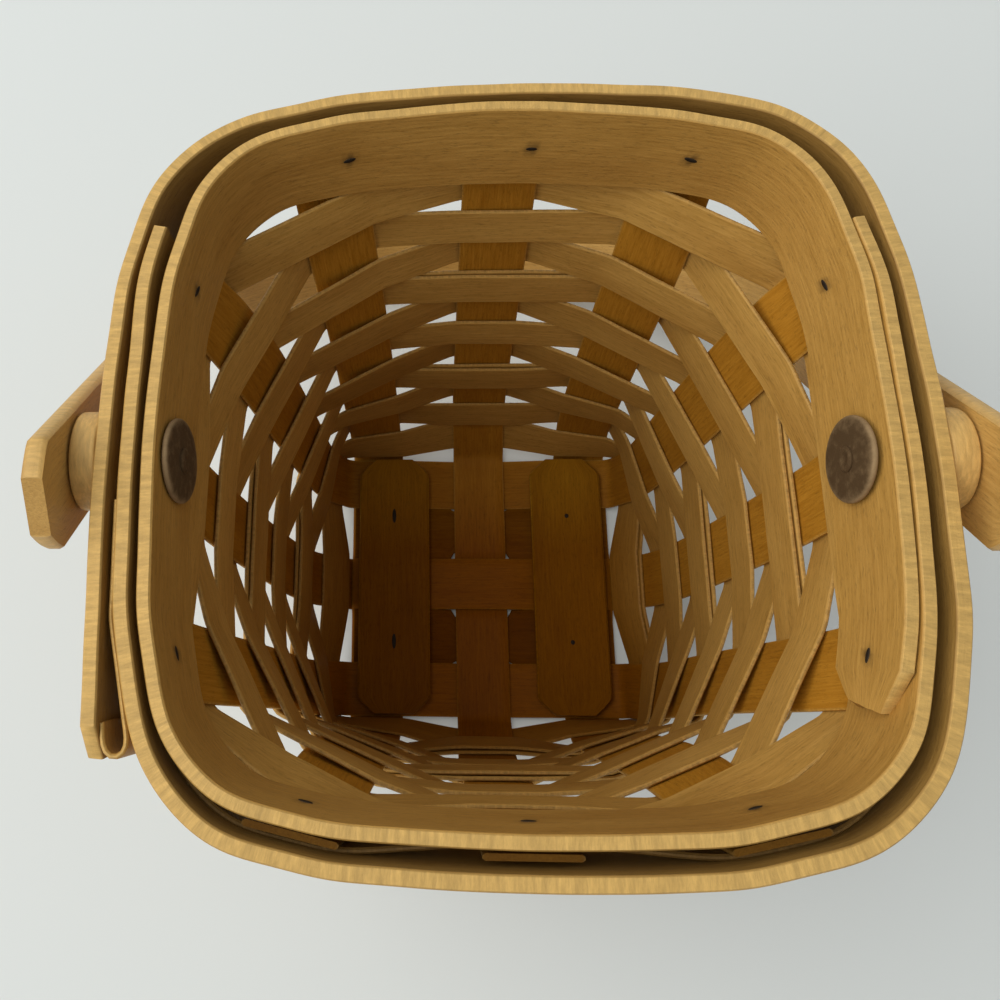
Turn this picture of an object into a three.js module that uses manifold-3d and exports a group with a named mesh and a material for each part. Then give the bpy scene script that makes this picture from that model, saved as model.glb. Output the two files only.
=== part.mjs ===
// A small square splint basket with a wooden swing handle.
// Millimetres, +Z up. The origin is in the middle of the underside, and the back of the
// basket is towards +Y. The handle is modelled folded down behind the basket.
import * as THREE from "three";
import { mergeVertices } from "three/addons/utils/BufferGeometryUtils.js";
import Module from "manifold-3d";

const wasm = await Module();
wasm.setup();

// Clearances
const fitGap = 0.25; // between strips that are pressed together on the real basket
const pinGap = 0.3; // round a rivet, and between the parts on the rivets
const tackGap = 0.2; // round a tack

// Uprights, which run across the floor and up two opposite walls
const stakeWidth = 12.7;
const stakeThick = 0.9;
const footMargin = 1.75; // from the outer floor strips' edges to the foot of the wall
const stakeFan = 5.0; // how much further out the outer uprights stand at the rim
const fanPower = 3; // they fan out late, most of it near the rim
const rimTwist = THREE.MathUtils.degToRad(13); // turn of the outer uprights at the rim
const rimSag = 2.3; // how far the outer uprights fall back from the middle one at the rim
const stakeEndDrop = 2.6; // from the rim's top down to the sawn ends of the uprights
const footBend = 1.9; // where the uprights start to bend up, before the foot of the wall

// Short strips that fill the floor between the crosswise uprights
const fillerSlit = 0.5; // to the outer floor strip
const jogGap = 0.4; // on both sides of a lengthwise strip where it changes level
const fillerEndGap = 2.4; // to the foot of the wall
const rampMargin = 1.3; // from a lengthwise strip's edge to where crosswise ones change level

// Wall shape, measured at the middle of the uprights' thickness
const footHalf = 33.9; // half width at the bottom edge of the first weaver
const footRise = 1.2; // from the floor's top face up to that edge
const flare = 6.6; // quick widening just above the floor
const flareHeight = 8;
const wallSlope = 0.11;
const rimHalfX = 54.2;
const rimHalfY = 54.7;
const rimShift = -1.8; // the rim stands a little to the left of the floor
const basketHeight = 119.2;
const cornerReach = 0.3; // length of the corner curves' handles, as a share of the chord

// The weave pulls the outer uprights in between the floor and the rim bands
const weaveSag = 5.0; // beyond the sag that they have at the rim
const weaveTwist = THREE.MathUtils.degToRad(17); // beyond their turn at the rim
const weaveLean = 1.8; // the crosswise uprights bow towards the front
const weaveSettle = 0.15; // share of the weave's height in which this sets in
const weaveReturn = 8; // power with which it falls back to the bands' shape

// Weavers, which go round the walls
const weaverRows = 12;
const weaverThick = 0.8;
const weaverSlit = 0.35; // between one row and the next
const squareRows = 3; // the lowest rows lie flat on every upright
const frontStandOff = 1.5; // the row under the bands, at the front wall's outer uprights
const lapInset = 2.0; // a weaver's end stops this far inside its upright's edge
const buttSlit = 0.8; // between the two ends of a row that has no lap
const buttSide = 3.0; // from the middle of the upright to that slit
const topRowLift = 2.4; // the top row, between the rim bands, stands off the row below

// Rim bands, each one long strip whose ends lap on a side wall
const bandHeight = 15.9;
const bandThick = 1.6;
const innerLapStart = -3.0; // from the middle of the right wall's back upright
const innerLapEnd = 6.8; // past the middle of the right wall's front upright
const outerLapStart = 2.5; // past the middle of the left wall's back upright
const outerLapEnd = -11.2; // past the middle of the left wall's front upright
const looseEndTurn = THREE.MathUtils.degToRad(8.5); // the outer end stands off the corner
const innerEndClip = 5.0;
const outerEndClip = 4.0;

// Thin strip between the two layers of the outer band
const thinStripThick = 0.7;
const thinStripHeight = 13.5;
const thinStripStart = -12.6; // from the middle of the left wall
const thinStripFold = 0.7; // past the loose end of the band, where the strip folds out
const thinStripTail = 0.9;

// Floor slats
const slatWidth = 17.5;
const slatThick = 2.0;
const slatSideGap = 3.55; // to the foot of the side wall
const slatEndGap = 2.2; // to the foot of the front and back walls
const slatClip = 4.0;

// Tacks
const tackRadius = 0.6;
const tackHeadRadius = 1.8;
const tackHeadThick = 0.4;
const tackTipRadius = 1.0;
const tackTipThick = 0.35;
const backTackInset = 2.15; // floor tacks, from the outer edge of the filler that they hold
const frontTackInset = 4.35;
const rimTackHeadRadius = 1.4;
const rimTackDrop = 8.2; // below the rim's top
const backTackSide = 4.4; // the back wall's left and middle tacks, to the right of the middle
const sideTackFront = 2.8; // the side walls' back tacks, to the front of the middle
const tackSides = 8;

// Rivets, washers and spacers
const rivetRadius = 1.8;
const rivetHeadRadius = 6.2;
const rivetHeadThick = 1.3;
const rivetButtonRadius = 2.3;
const rivetButtonThick = 0.8;
const rivetButtonGap = 0.55; // clears the washer, which leans with the band
const crownShare = 0.7; // flat middle of a rivet's button and head, as a share of its radius
const rivetDrop = 7.5; // below the rim's top
const rivetY = -1.3;
const washerRadius = 6.3;
const washerThick = 1.1;
const spacerRadius = 7.3;
const leftSpacerThick = 4.7; // on the rivet's axis
const rightSpacerThick = 4.6;
const roundSides = 24;

// Handle
const handleWidth = 16.8;
const handleThick = 2.9;
const handleTab = 15.7; // past the rivet
const handleClip = 4.0;
const handleAngle = THREE.MathUtils.degToRad(50); // below the horizontal, folded down
const tableGap = 0.4; // under the folded hoop
const archSteps = 24;

// Colours
const stakeColour = 0xa9722f;
const floorColour = 0x7d4f22;
const weaverColour = 0x94662b;
const bandColour = 0xb07a36;
const slatColour = 0xa87634;
const handleColour = 0xb98542;
const tackColour = 0x55504a;
const rivetColour = 0x4b3f31;

// Values worked out from the sizes above
const floorTop = 2 * stakeThick + pinGap;
const lowLevel = stakeThick / 2;
const highLevel = floorTop - stakeThick / 2;
const stakePitch = footHalf - footMargin - stakeWidth / 2;
const jogSlit = stakeThick + 2 * jogGap;
const fillerInner = stakeWidth / 2 + jogSlit;
const fillerOuter = stakePitch - stakeWidth / 2 - fillerSlit;
const wallFoot = floorTop + footRise;
const wallHeight = basketHeight - wallFoot;
const weaverOffset = stakeThick / 2 + fitGap + weaverThick / 2;
const weaverLap = weaverThick + fitGap;
const bandOffset = stakeThick / 2 + weaverThick + 2 * fitGap + bandThick / 2;
const bandFace = bandOffset + bandThick / 2;
const bandLap = bandThick + fitGap;
const thinStripRoom = thinStripThick + fitGap;
const bandBottom = basketHeight - bandHeight;
const rowPitch = (bandBottom - wallFoot) / (weaverRows - 1);
const rivetZ = basketHeight - rivetDrop;
const slatBottom = floorTop + pinGap;
const slatMiddle = footHalf - slatSideGap - slatWidth / 2;
const slatHalfLength = footHalf - slatEndGap;
const stakesPerWall = 3;
const stakeCount = 4 * stakesPerWall;
const rightMiddle = 4; // the uprights are counted clockwise from the back wall's left one
const leftFront = 9;
const leftMiddle = 10;
const leftBack = 11;
const cornerTurns = [0.25, 0.5, 0.75];

const mix = THREE.MathUtils.lerp;

// Half width of the wall at a height
function wallHalf(z, rimHalf) {
  const up = z - wallFoot;
  const bow = (rimHalf - footHalf - flare - wallSlope * wallHeight) / wallHeight ** 2;
  return footHalf + flare * (1 - Math.exp(-up / flareHeight)) + wallSlope * up + bow * up * up;
}

// How far the weave has its own shape: not at the foot, fully at mid-height, not at the bands
function weaveShare(z) {
  const up = Math.min((z - wallFoot) / (bandBottom - wallFoot), 1);
  return (1 - Math.exp(-up / weaveSettle)) * (1 - up ** weaveReturn);
}

// Turns a point of the back wall to wall 0 back, 1 right, 2 front or 3 left
function turnToWall(wall, along, out) {
  return [
    [along, out],
    [out, -along],
    [-along, -out],
    [-out, along],
  ][wall];
}

// A place on an upright at a row's edge, at a distance to the side of its middle: the point in
// plan and the outward direction there
function edgePlace(upright, z, side) {
  const wall = Math.floor(upright / stakesPerWall) % 4;
  const crosswise = wall % 2 === 1;
  const place = (upright % stakesPerWall) - 1;
  const share = (z - wallFoot) / wallHeight;
  const own = weaveShare(z);
  const twist = place * (rimTwist * share + weaveTwist * own);
  const sag = Math.abs(place) * (rimSag * share + weaveSag * own);
  const middle = place * (stakePitch + stakeFan * share ** fanPower);
  const along = middle + side * Math.cos(twist);
  const out = wallHalf(z, crosswise ? rimHalfX : rimHalfY) - sag - side * Math.sin(twist);
  const [x, y] = turnToWall(wall, along, out);
  const [nx, ny] = turnToWall(wall, Math.sin(twist), Math.cos(twist));
  const lean = crosswise ? weaveLean * own : 0;
  return { x: x + rimShift * Math.sqrt(share), y: y - lean, nx, ny };
}

// The same at any height, straight from one row's edge to the next
function uprightPlace(upright, z, side) {
  const row = Math.min(Math.max(Math.floor((z - wallFoot) / rowPitch), 0), weaverRows - 1);
  const low = wallFoot + row * rowPitch;
  const high = row === weaverRows - 1 ? basketHeight : low + rowPitch;
  const [from, to] = [edgePlace(upright, low, side), edgePlace(upright, high, side)];
  const up = (z - low) / (high - low);
  return {
    x: mix(from.x, to.x, up),
    y: mix(from.y, to.y, up),
    nx: mix(from.nx, to.nx, up),
    ny: mix(from.ny, to.ny, up),
  };
}

// A place on the round corner after an upright
function cornerPlace(upright, z, edge, turn) {
  const a = uprightPlace(upright, z, edge);
  const b = uprightPlace(upright + 1, z, -edge);
  const reach = cornerReach * Math.hypot(b.x - a.x, b.y - a.y);
  const curve = new THREE.CubicBezierCurve(
    new THREE.Vector2(a.x, a.y),
    new THREE.Vector2(a.x + reach * a.ny, a.y - reach * a.nx),
    new THREE.Vector2(b.x - reach * b.ny, b.y + reach * b.nx),
    new THREE.Vector2(b.x, b.y),
  );
  const point = curve.getPoint(turn);
  const way = curve.getTangent(turn);
  return { x: point.x, y: point.y, nx: -way.y, ny: way.x };
}

// Signed volume of an indexed mesh, negative when its faces point in
function volume(geometry) {
  const points = geometry.attributes.position;
  const index = geometry.index;
  const [a, b, c] = [new THREE.Vector3(), new THREE.Vector3(), new THREE.Vector3()];
  let sum = 0;
  for (let i = 0; i < index.count; i += 3) {
    a.fromBufferAttribute(points, index.getX(i));
    b.fromBufferAttribute(points, index.getX(i + 1));
    c.fromBufferAttribute(points, index.getX(i + 2));
    sum += a.dot(b.cross(c)) / 6;
  }
  return sum;
}

// The same mesh with its faces pointing out
function facingOut(geometry) {
  if (volume(geometry) < 0) {
    const index = Array.from(geometry.index.array);
    for (let i = 0; i < index.length; i += 3) {
      [index[i], index[i + 1]] = [index[i + 1], index[i]];
    }
    geometry.setIndex(index);
  }
  return geometry;
}

// How much a line between two points climbs clockwise round the basket
function clockwiseClimb(from, to) {
  const round = (to[0] - from[0]) * from[1] - (to[1] - from[1]) * from[0];
  return Math.sign(to[2] - from[2]) * round;
}

// A closed strip through a row of four-cornered sections. The diagonals of its faces all climb
// clockwise, so strips that lie on each other stay parallel where the wall is twisted.
function ribbon(sections) {
  const index = [];
  const corners = sections.flat();
  const quad = (a, b, c, d) => {
    if (clockwiseClimb(corners[a], corners[c]) < clockwiseClimb(corners[b], corners[d])) {
      index.push(b, c, d, b, d, a);
    } else {
      index.push(a, b, c, a, c, d);
    }
  };
  for (let i = 0; i + 1 < sections.length; i += 1) {
    for (let k = 0; k < 4; k += 1) {
      const next = (k + 1) % 4;
      quad(4 * i + k, 4 * i + next, 4 * i + 4 + next, 4 * i + 4 + k);
    }
  }
  const last = 4 * (sections.length - 1);
  quad(3, 2, 1, 0);
  quad(last, last + 1, last + 2, last + 3);
  const geometry = new THREE.BufferGeometry();
  geometry.setAttribute("position", new THREE.Float32BufferAttribute(corners.flat(), 3));
  geometry.setIndex(index);
  return facingOut(geometry);
}

// A round piece about the Z axis, from a profile of radius and height
function turned(profile, sides) {
  const points = profile.map(([radius, height]) => new THREE.Vector2(radius, height));
  const geometry = new THREE.LatheGeometry(points, sides);
  geometry.deleteAttribute("normal");
  geometry.deleteAttribute("uv");
  return facingOut(geometry.rotateX(Math.PI / 2));
}

// Turns a piece made about the Z axis to another direction and puts it in its place
function aimed(geometry, place, way) {
  const up = new THREE.Vector3(0, 0, 1);
  const turn = new THREE.Quaternion().setFromUnitVectors(up, way.clone().normalize());
  return geometry.applyQuaternion(turn).translate(place.x, place.y, place.z);
}

// A round bar from one point to another, used as a drill
function drillBar(from, to, radius, sides) {
  const way = new THREE.Vector3().subVectors(to, from);
  const profile = [
    [0, 0],
    [radius, 0],
    [radius, way.length()],
    [0, way.length()],
  ];
  return aimed(turned(profile, sides), from, way);
}

function toSolid(geometry) {
  const bare = geometry.clone();
  bare.deleteAttribute("normal");
  bare.deleteAttribute("uv");
  const merged = mergeVertices(bare, 1e-4);
  return new wasm.Manifold(
    new wasm.Mesh({
      numProp: 3,
      vertProperties: new Float32Array(merged.attributes.position.array),
      triVerts: new Uint32Array(merged.index.array),
    }),
  );
}

// A piece with holes where the drills pass
function drilled(geometry, drills) {
  const solid = drills.reduce((left, tool) => left.subtract(toSolid(tool)), toSolid(geometry));
  const mesh = solid.getMesh();
  const result = new THREE.BufferGeometry();
  result.setAttribute("position", new THREE.Float32BufferAttribute(mesh.vertProperties, 3));
  result.setIndex(Array.from(mesh.triVerts));
  return result;
}

// How far the rim moves out at an upright for each millimetre up
function bandLean(upright) {
  const low = uprightPlace(upright, bandBottom, 0);
  const high = uprightPlace(upright, basketHeight, 0);
  return ((high.x - low.x) * low.nx + (high.y - low.y) * low.ny) / bandHeight;
}

// The outer layer of the outer band on the left wall: its distance from the wall's middle
// surface. It lies tight from the back to the rivet, and loose from there to its end.
function outerLapOffset(upright, side) {
  const tight = bandOffset + bandLap;
  if (upright === leftFront) {
    return tight + thinStripRoom + Math.tan(looseEndTurn) * (stakeWidth / 2 - side);
  }
  return upright === leftMiddle && side <= thinStripStart ? tight + thinStripRoom : tight;
}

// How far a rim tack stands from the middle of its upright, clockwise
function rimTackSide(upright) {
  if (upright === leftBack) {
    return -sideTackFront;
  }
  if (upright === rightMiddle - 1) {
    return sideTackFront;
  }
  return upright < stakesPerWall - 1 ? backTackSide : 0;
}

// Tacks through the rim at each upright that has no rivet: the line of each one, square to
// the bands, and how far along it the bands reach outwards and inwards
function rimTackLines() {
  const lines = [];
  for (let upright = 0; upright < stakeCount; upright += 1) {
    if (upright !== rightMiddle && upright !== leftMiddle) {
      const wall = Math.floor(upright / stakesPerWall);
      const z = basketHeight - rimTackDrop;
      const spot = uprightPlace(upright, z, rimTackSide(upright));
      const looseRoom = upright === leftFront ? Math.tan(looseEndTurn) * tackTipRadius : 0;
      const outerLayers = upright >= leftFront ? outerLapOffset(upright, 0) : bandOffset;
      const innerLayers = wall === 1 ? bandOffset + bandLap : bandOffset;
      lines.push({
        middle: new THREE.Vector3(spot.x, spot.y, z),
        way: new THREE.Vector3(spot.nx, spot.ny, -bandLean(upright)).normalize(),
        outer: outerLayers + bandThick / 2 + looseRoom,
        inner: innerLayers + bandThick / 2,
      });
    }
  }
  return lines;
}

function alongLine({ middle, way }, distance) {
  return middle.clone().addScaledVector(way, distance);
}

// A tack with a flat head at the bottom and a clinched tip at the top
function tack(headRadius, length) {
  return turned(
    [
      [0, 0],
      [headRadius, 0],
      [headRadius, tackHeadThick],
      [tackRadius, tackHeadThick],
      [tackRadius, length - tackTipThick],
      [tackTipRadius, length - tackTipThick],
      [tackTipRadius / 2, length],
      [0, length],
    ],
    tackSides,
  );
}

function onFront(upright) {
  return Math.floor((upright % stakeCount) / stakesPerWall) === 2;
}

// A place on a strip that goes round the walls
function station(upright, side, offset, inset = 0) {
  return { place: (z) => uprightPlace(upright % stakeCount, z, side), upright, offset, inset };
}

// The places that such a strip passes: both edges of each upright and, if it bends round them,
// the corners. A strip that doesn't bend round them crosses each corner in a straight line. It
// may be loose at some uprights' edges at the corners.
function stationsRound(first, last, edge, offset, bendsRound, isLoose = () => false) {
  const stations = [];
  for (let upright = first; upright <= last; upright += 1) {
    const place = upright % stakesPerWall;
    const [start, end] = [-edge, edge].map((side) => station(upright, side, offset(upright)));
    start.loose = place === 0 && isLoose(upright);
    end.loose = place === stakesPerWall - 1 && isLoose(upright);
    stations.push(start, end);
    if (bendsRound && upright < last && upright % stakesPerWall === stakesPerWall - 1) {
      cornerTurns.forEach((turn) => {
        stations.push({
          place: (z) => cornerPlace(upright % stakeCount, z, edge, turn),
          offset: mix(offset(upright), offset(upright + 1), turn),
          inset: 0,
        });
      });
    }
  }
  return stations;
}

// Pulls a strip tight: a station where it is loose is left out if the straight line past it
// runs inside it at the strip's lower and upper edge.
function pulledTight(stations, low, high) {
  const point = ({ place, offset }, z) => {
    const spot = place(z);
    return new THREE.Vector2(spot.x + offset * spot.nx, spot.y + offset * spot.ny);
  };
  const outsideLine = (i, z) => {
    const [from, own, to] = [i - 1, i, i + 1].map((k) => point(stations[k], z));
    return to.sub(from).cross(own.sub(from)) > 0;
  };
  return stations.filter(
    (own, i) => !own.loose || !(outsideLine(i, low) && outsideLine(i, high)),
  );
}

// An upstanding strip through its stations, between two heights
function standingStrip(stations, low, high, thick) {
  return ribbon(
    stations.map(({ place, offset, inset }) => {
      const at = (z, out) => {
        const spot = place(z);
        return [spot.x + out * spot.nx, spot.y + out * spot.ny, z];
      };
      const [inner, outer] = [offset - thick / 2, offset + thick / 2];
      const [bottom, top] = [low + inset, high - inset];
      return [at(bottom, inner), at(bottom, outer), at(top, outer), at(top, inner)];
    }),
  );
}

// A weaver goes outside one upright and inside the next. Its ends lap over the uprights of one
// wall, where the starting layer lies outside the ending one.
function weaverStrip(row) {
  const butt = row === weaverRows - 1; // the top row has no lap
  const low = wallFoot + row * rowPitch + weaverSlit / 2 + (butt ? topRowLift : 0);
  const high = low + rowPitch - weaverSlit;
  const lapUprights = butt ? 1 : stakesPerWall;
  const first = butt ? leftMiddle - stakesPerWall : stakesPerWall * ((row + 1) % 4);
  const last = first + stakeCount + lapUprights - 1;
  const offset = (upright) => {
    const startLap = !butt && upright < first + lapUprights;
    const endLap = !butt && upright > last - lapUprights;
    const outside = (upright + row) % 2 === 1;
    return outside
      ? weaverOffset + (startLap ? weaverLap : 0)
      : -weaverOffset - (endLap ? weaverLap : 0);
  };
  const lapped = (upright) => upright < first + lapUprights || upright > last - lapUprights;
  const inside = (upright) => (upright + row) % 2 === 0;
  const straight = row >= squareRows && !butt;
  const isLoose = (upright) => straight && inside(upright) && !lapped(upright);
  const edge = stakeWidth / 2 + fitGap;
  const stations = stationsRound(first, last, edge, offset, butt, isLoose);
  if (row === weaverRows - 2) {
    stations.filter((own) => own.loose && onFront(own.upright)).forEach((own) => {
      own.loose = false;
      own.offset -= frontStandOff;
    });
  }
  const lapSide = stakeWidth / 2 - lapInset;
  const [startSide, endSide] = butt ? [buttSide, buttSide - buttSlit] : [-lapSide, lapSide];
  stations[0] = station(first, startSide, offset(first));
  stations[stations.length - 1] = station(last, endSide, offset(last));
  return standingStrip(pulledTight(stations, low, high), low, high, weaverThick);
}

// The inner band starts on the right wall, goes round by the front, the left and the back, and
// ends on the right wall again, as the innermost layer.
function innerBand() {
  const first = rightMiddle - 1;
  const last = first + stakeCount + stakesPerWall - 1;
  const offset = (upright) => (upright < first + stakeCount ? -bandOffset : -bandOffset - bandLap);
  const stations = stationsRound(first, last, stakeWidth / 2, offset, true);
  stations[0] = station(first, innerLapStart, offset(first));
  stations.pop();
  stations.push(station(last, innerLapEnd - innerEndClip, offset(last)));
  stations.push(station(last, innerLapEnd, offset(last), innerEndClip));
  return standingStrip(stations, bandBottom, basketHeight, bandThick);
}

// The outer band starts on the left wall against the weavers, and its other end lies over
// that start. It is listed here from the outer end.
function outerBand() {
  const last = leftBack + stakeCount;
  const offset = (upright) => (upright <= leftBack ? outerLapOffset(upright, 0) : bandOffset);
  const stations = stationsRound(leftMiddle, last, stakeWidth / 2, offset, true);
  const lapPlaces = [
    [leftFront, outerLapEnd, outerEndClip],
    [leftFront, outerLapEnd + outerEndClip, 0],
    [leftFront, stakeWidth / 2, 0],
    [leftMiddle, thinStripStart, 0],
    [leftMiddle, rivetY - spacerRadius - pinGap, 0],
  ];
  const lap = lapPlaces.map(([upright, side, inset]) =>
    station(upright, side, outerLapOffset(upright, side), inset),
  );
  stations.splice(0, 1, ...lap);
  stations[stations.length - 1] = station(last, outerLapStart, offset(last));
  return standingStrip(stations, bandBottom, basketHeight, bandThick);
}

// The thin strip keeps to the outer layer and folds out past its end
function thinStrip() {
  const inside = bandThick / 2 + fitGap + thinStripThick / 2;
  const foldSide = outerLapEnd - thinStripFold;
  const stations = [
    [leftMiddle, thinStripStart, 0],
    [leftFront, stakeWidth / 2, 0],
    [leftFront, foldSide, 0],
    [leftFront, foldSide - thinStripTail, thinStripTail],
  ].map(([upright, side, fold]) =>
    station(upright, side, outerLapOffset(upright, side) - inside + fold, fold),
  );
  const middle = (basketHeight + bandBottom) / 2;
  const [low, high] = [middle - thinStripHeight / 2, middle + thinStripHeight / 2];
  return standingStrip(stations, low, high, thinStripThick);
}

// A crosswise strip changes level in the open space between two lengthwise strips
function rampRun() {
  return [stakeWidth / 2 + rampMargin, stakePitch - stakeWidth / 2 - rampMargin];
}

// An upright: down one wall, across the floor with its changes of level, and up the other wall
function uprightStrip(lengthwise, place) {
  const floorSide = place * stakePitch;
  const [half, skin] = [stakeWidth / 2, stakeThick / 2];
  const endsHigh = lengthwise ? place === 0 : place !== 0;
  const [endLevel, crossLevel] = endsHigh ? [highLevel, lowLevel] : [lowLevel, highLevel];
  const firstUpright = lengthwise ? 1 + place : 4 - place;
  const lastUpright = lengthwise ? 7 - place : 10 + place;

  const wallSections = (upright, edge) => {
    const heights = [];
    for (let row = 0; row < weaverRows; row += 1) {
      heights.push(wallFoot + row * rowPitch);
    }
    heights.push(basketHeight - stakeEndDrop);
    return heights.map((z) => {
      const at = (side, out) => {
        const spot = uprightPlace(upright, z, side);
        return [spot.x + out * spot.nx, spot.y + out * spot.ny, z];
      };
      return [at(-edge, skin), at(edge, skin), at(edge, -skin), at(-edge, -skin)];
    });
  };

  // A section of the floor run, whose upper corners lean back by a share of the thickness
  const floorSection = (run, level, back, rise) => {
    const at = (side, up) => {
      const [along, z] = [run - up * back * skin, level + up * rise * skin];
      return lengthwise ? [floorSide + side, along, z] : [along, floorSide + side, z];
    };
    return [at(-half, -1), at(half, -1), at(half, 1), at(-half, 1)];
  };

  const bend = (towards) => {
    const curve = new THREE.QuadraticBezierCurve(
      new THREE.Vector2(footHalf - footBend, endLevel),
      new THREE.Vector2(footHalf - footBend / 4, endLevel),
      new THREE.Vector2(footHalf, wallFoot),
    );
    return [0, 0.25, 0.5, 0.75].map((t) => {
      const point = curve.getPoint(t);
      const way = curve.getTangent(t);
      return floorSection(towards * point.x, point.y, towards * way.y, way.x);
    });
  };

  // Lengthwise strips step down or up in the slit beside the middle crosswise strip
  const step = half + jogSlit / 2;
  const [near, far] = rampRun();
  const stepBack = endsHigh ? 1 : -1;
  const change = (towards) =>
    lengthwise
      ? [
          floorSection(towards * step, endLevel, towards * stepBack, 1),
          floorSection(towards * step, crossLevel, towards * stepBack, 1),
        ]
      : [floorSection(towards * far, endLevel, 0, 1), floorSection(towards * near, crossLevel, 0, 1)];

  const startEdge = lengthwise ? half : -half;
  return ribbon([
    ...wallSections(firstUpright, startEdge).reverse(),
    ...bend(1).reverse(),
    ...change(1),
    ...change(-1).reverse(),
    ...bend(-1),
    ...wallSections(lastUpright, -startEdge),
  ]);
}

// A short floor strip beside the middle crosswise upright, towards the back or the front
function fillerStrip(towards) {
  const width = fillerOuter - fillerInner;
  const middle = (towards * (fillerOuter + fillerInner)) / 2;
  const end = footHalf - fillerEndGap;
  const [near, far] = rampRun();
  const runs = [
    [-end, highLevel],
    [-far, highLevel],
    [-near, lowLevel],
    [near, lowLevel],
    [far, highLevel],
    [end, highLevel],
  ];
  return ribbon(
    runs.map(([x, level]) => {
      const at = (side, up) => [x, middle + (side * width) / 2, level + (up * stakeThick) / 2];
      return [at(-1, -1), at(1, -1), at(1, 1), at(-1, 1)];
    }),
  );
}

// A floor slat with clipped corners
function slat(towards) {
  const [w, l] = [slatWidth / 2, slatHalfLength];
  const outline = new THREE.Shape([
    new THREE.Vector2(-w, -l + slatClip),
    new THREE.Vector2(-w + slatClip, -l),
    new THREE.Vector2(w - slatClip, -l),
    new THREE.Vector2(w, -l + slatClip),
    new THREE.Vector2(w, l - slatClip),
    new THREE.Vector2(w - slatClip, l),
    new THREE.Vector2(-w + slatClip, l),
    new THREE.Vector2(-w, l - slatClip),
  ]);
  const geometry = new THREE.ExtrudeGeometry(outline, { depth: slatThick, bevelEnabled: false });
  return geometry.translate(towards * slatMiddle, 0, slatBottom);
}

// Distances of the faces that lie on a rivet's line, from the basket's middle plane. The sign
// is 1 for the right rivet and -1 for the left one.
function rivetFaces(sign) {
  const upright = sign > 0 ? rightMiddle : leftMiddle;
  const wall = Math.abs(uprightPlace(upright, rivetZ, 0).x);
  const lean = bandLean(upright);
  const inner = wall - bandFace - (sign > 0 ? bandLap : 0);
  const outer = wall + bandFace + (sign > 0 ? 0 : bandLap);
  const spacerThick = sign > 0 ? rightSpacerThick : leftSpacerThick;
  return { inner, outer, lean, post: outer + pinGap + spacerThick };
}

const handleShift = (rivetFaces(1).post - rivetFaces(-1).post) / 2;
const handleHalf = (rivetFaces(1).post + rivetFaces(-1).post) / 2 + pinGap;

// A ring on a rivet, between two distances from the middle plane. An end can lean with the band.
function rivetRing(sign, radius, near, far, nearLean, farLean) {
  const hole = rivetRadius + pinGap;
  const profile = [
    [hole, near],
    [radius, near],
    [radius, far],
    [hole, far],
    [hole, near],
  ];
  const geometry = turned(profile, roundSides);
  aimed(geometry, new THREE.Vector3(0, rivetY, rivetZ), new THREE.Vector3(sign, 0, 0));
  const points = geometry.attributes.position;
  for (let i = 0; i < points.count; i += 1) {
    const atNear = Math.abs(points.getX(i)) < (near + far) / 2;
    const lean = atNear ? nearLean : farLean;
    points.setX(i, points.getX(i) + sign * lean * (points.getZ(i) - rivetZ));
  }
  return geometry;
}

function spacer(sign) {
  const { outer, lean, post } = rivetFaces(sign);
  return rivetRing(sign, spacerRadius, outer + pinGap, post, lean, 0);
}

function washer(sign) {
  const { inner, lean } = rivetFaces(sign);
  const near = inner - pinGap - washerThick;
  return rivetRing(sign, washerRadius, near, near + washerThick, lean, lean);
}

// A rivet from its peened button inside the basket to its head outside the handle
function rivet(sign) {
  const buttonTop = rivetFaces(sign).inner - pinGap - washerThick - rivetButtonGap;
  const button = buttonTop - rivetButtonThick;
  const head = rivetFaces(sign).post + 2 * pinGap + handleThick;
  const profile = [
    [0, button],
    [crownShare * rivetButtonRadius, button],
    [rivetButtonRadius, button + rivetButtonThick / 2],
    [rivetButtonRadius, buttonTop],
    [rivetRadius, buttonTop],
    [rivetRadius, head],
    [rivetHeadRadius, head],
    [rivetHeadRadius, head + rivetHeadThick / 2],
    [crownShare * rivetHeadRadius, head + rivetHeadThick],
    [0, head + rivetHeadThick],
  ];
  const geometry = turned(profile, roundSides);
  return aimed(geometry, new THREE.Vector3(0, rivetY, rivetZ), new THREE.Vector3(sign, 0, 0));
}

// The handle, one bent strip: a free end past each rivet, two straight legs and a round arch
function handleHoop() {
  const reachDown = rivetZ - tableGap - (handleWidth / 2) * Math.cos(handleAngle);
  const length = reachDown / Math.sin(handleAngle);
  const radius = handleHalf + handleThick / 2;
  const archStart = length - handleHalf - handleThick;
  const legs = [
    [-handleTab, handleClip],
    [-handleTab + handleClip, 0],
    [0, 0],
  ];
  const path = legs.map(([run, clip]) => ({ x: -radius, run, turn: 0, clip }));
  for (let i = 0; i <= archSteps; i += 1) {
    const turn = (Math.PI * i) / archSteps;
    path.push({
      x: -radius * Math.cos(turn),
      run: archStart + radius * Math.sin(turn),
      turn,
      clip: 0,
    });
  }
  legs.reverse().forEach(([run, clip]) => path.push({ x: radius, run, turn: Math.PI, clip }));
  return ribbon(
    path.map(({ x, run, turn, clip }) => {
      const at = (out, across) => {
        const side = x - out * Math.cos(turn);
        const reach = run + out * Math.sin(turn);
        return [
          handleShift + side,
          rivetY + reach * Math.cos(handleAngle) + across * Math.sin(handleAngle),
          rivetZ - reach * Math.sin(handleAngle) + across * Math.cos(handleAngle),
        ];
      };
      const [skin, edge] = [handleThick / 2, handleWidth / 2 - clip];
      return [at(-skin, -edge), at(skin, -edge), at(skin, edge), at(-skin, edge)];
    }),
  );
}

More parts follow.
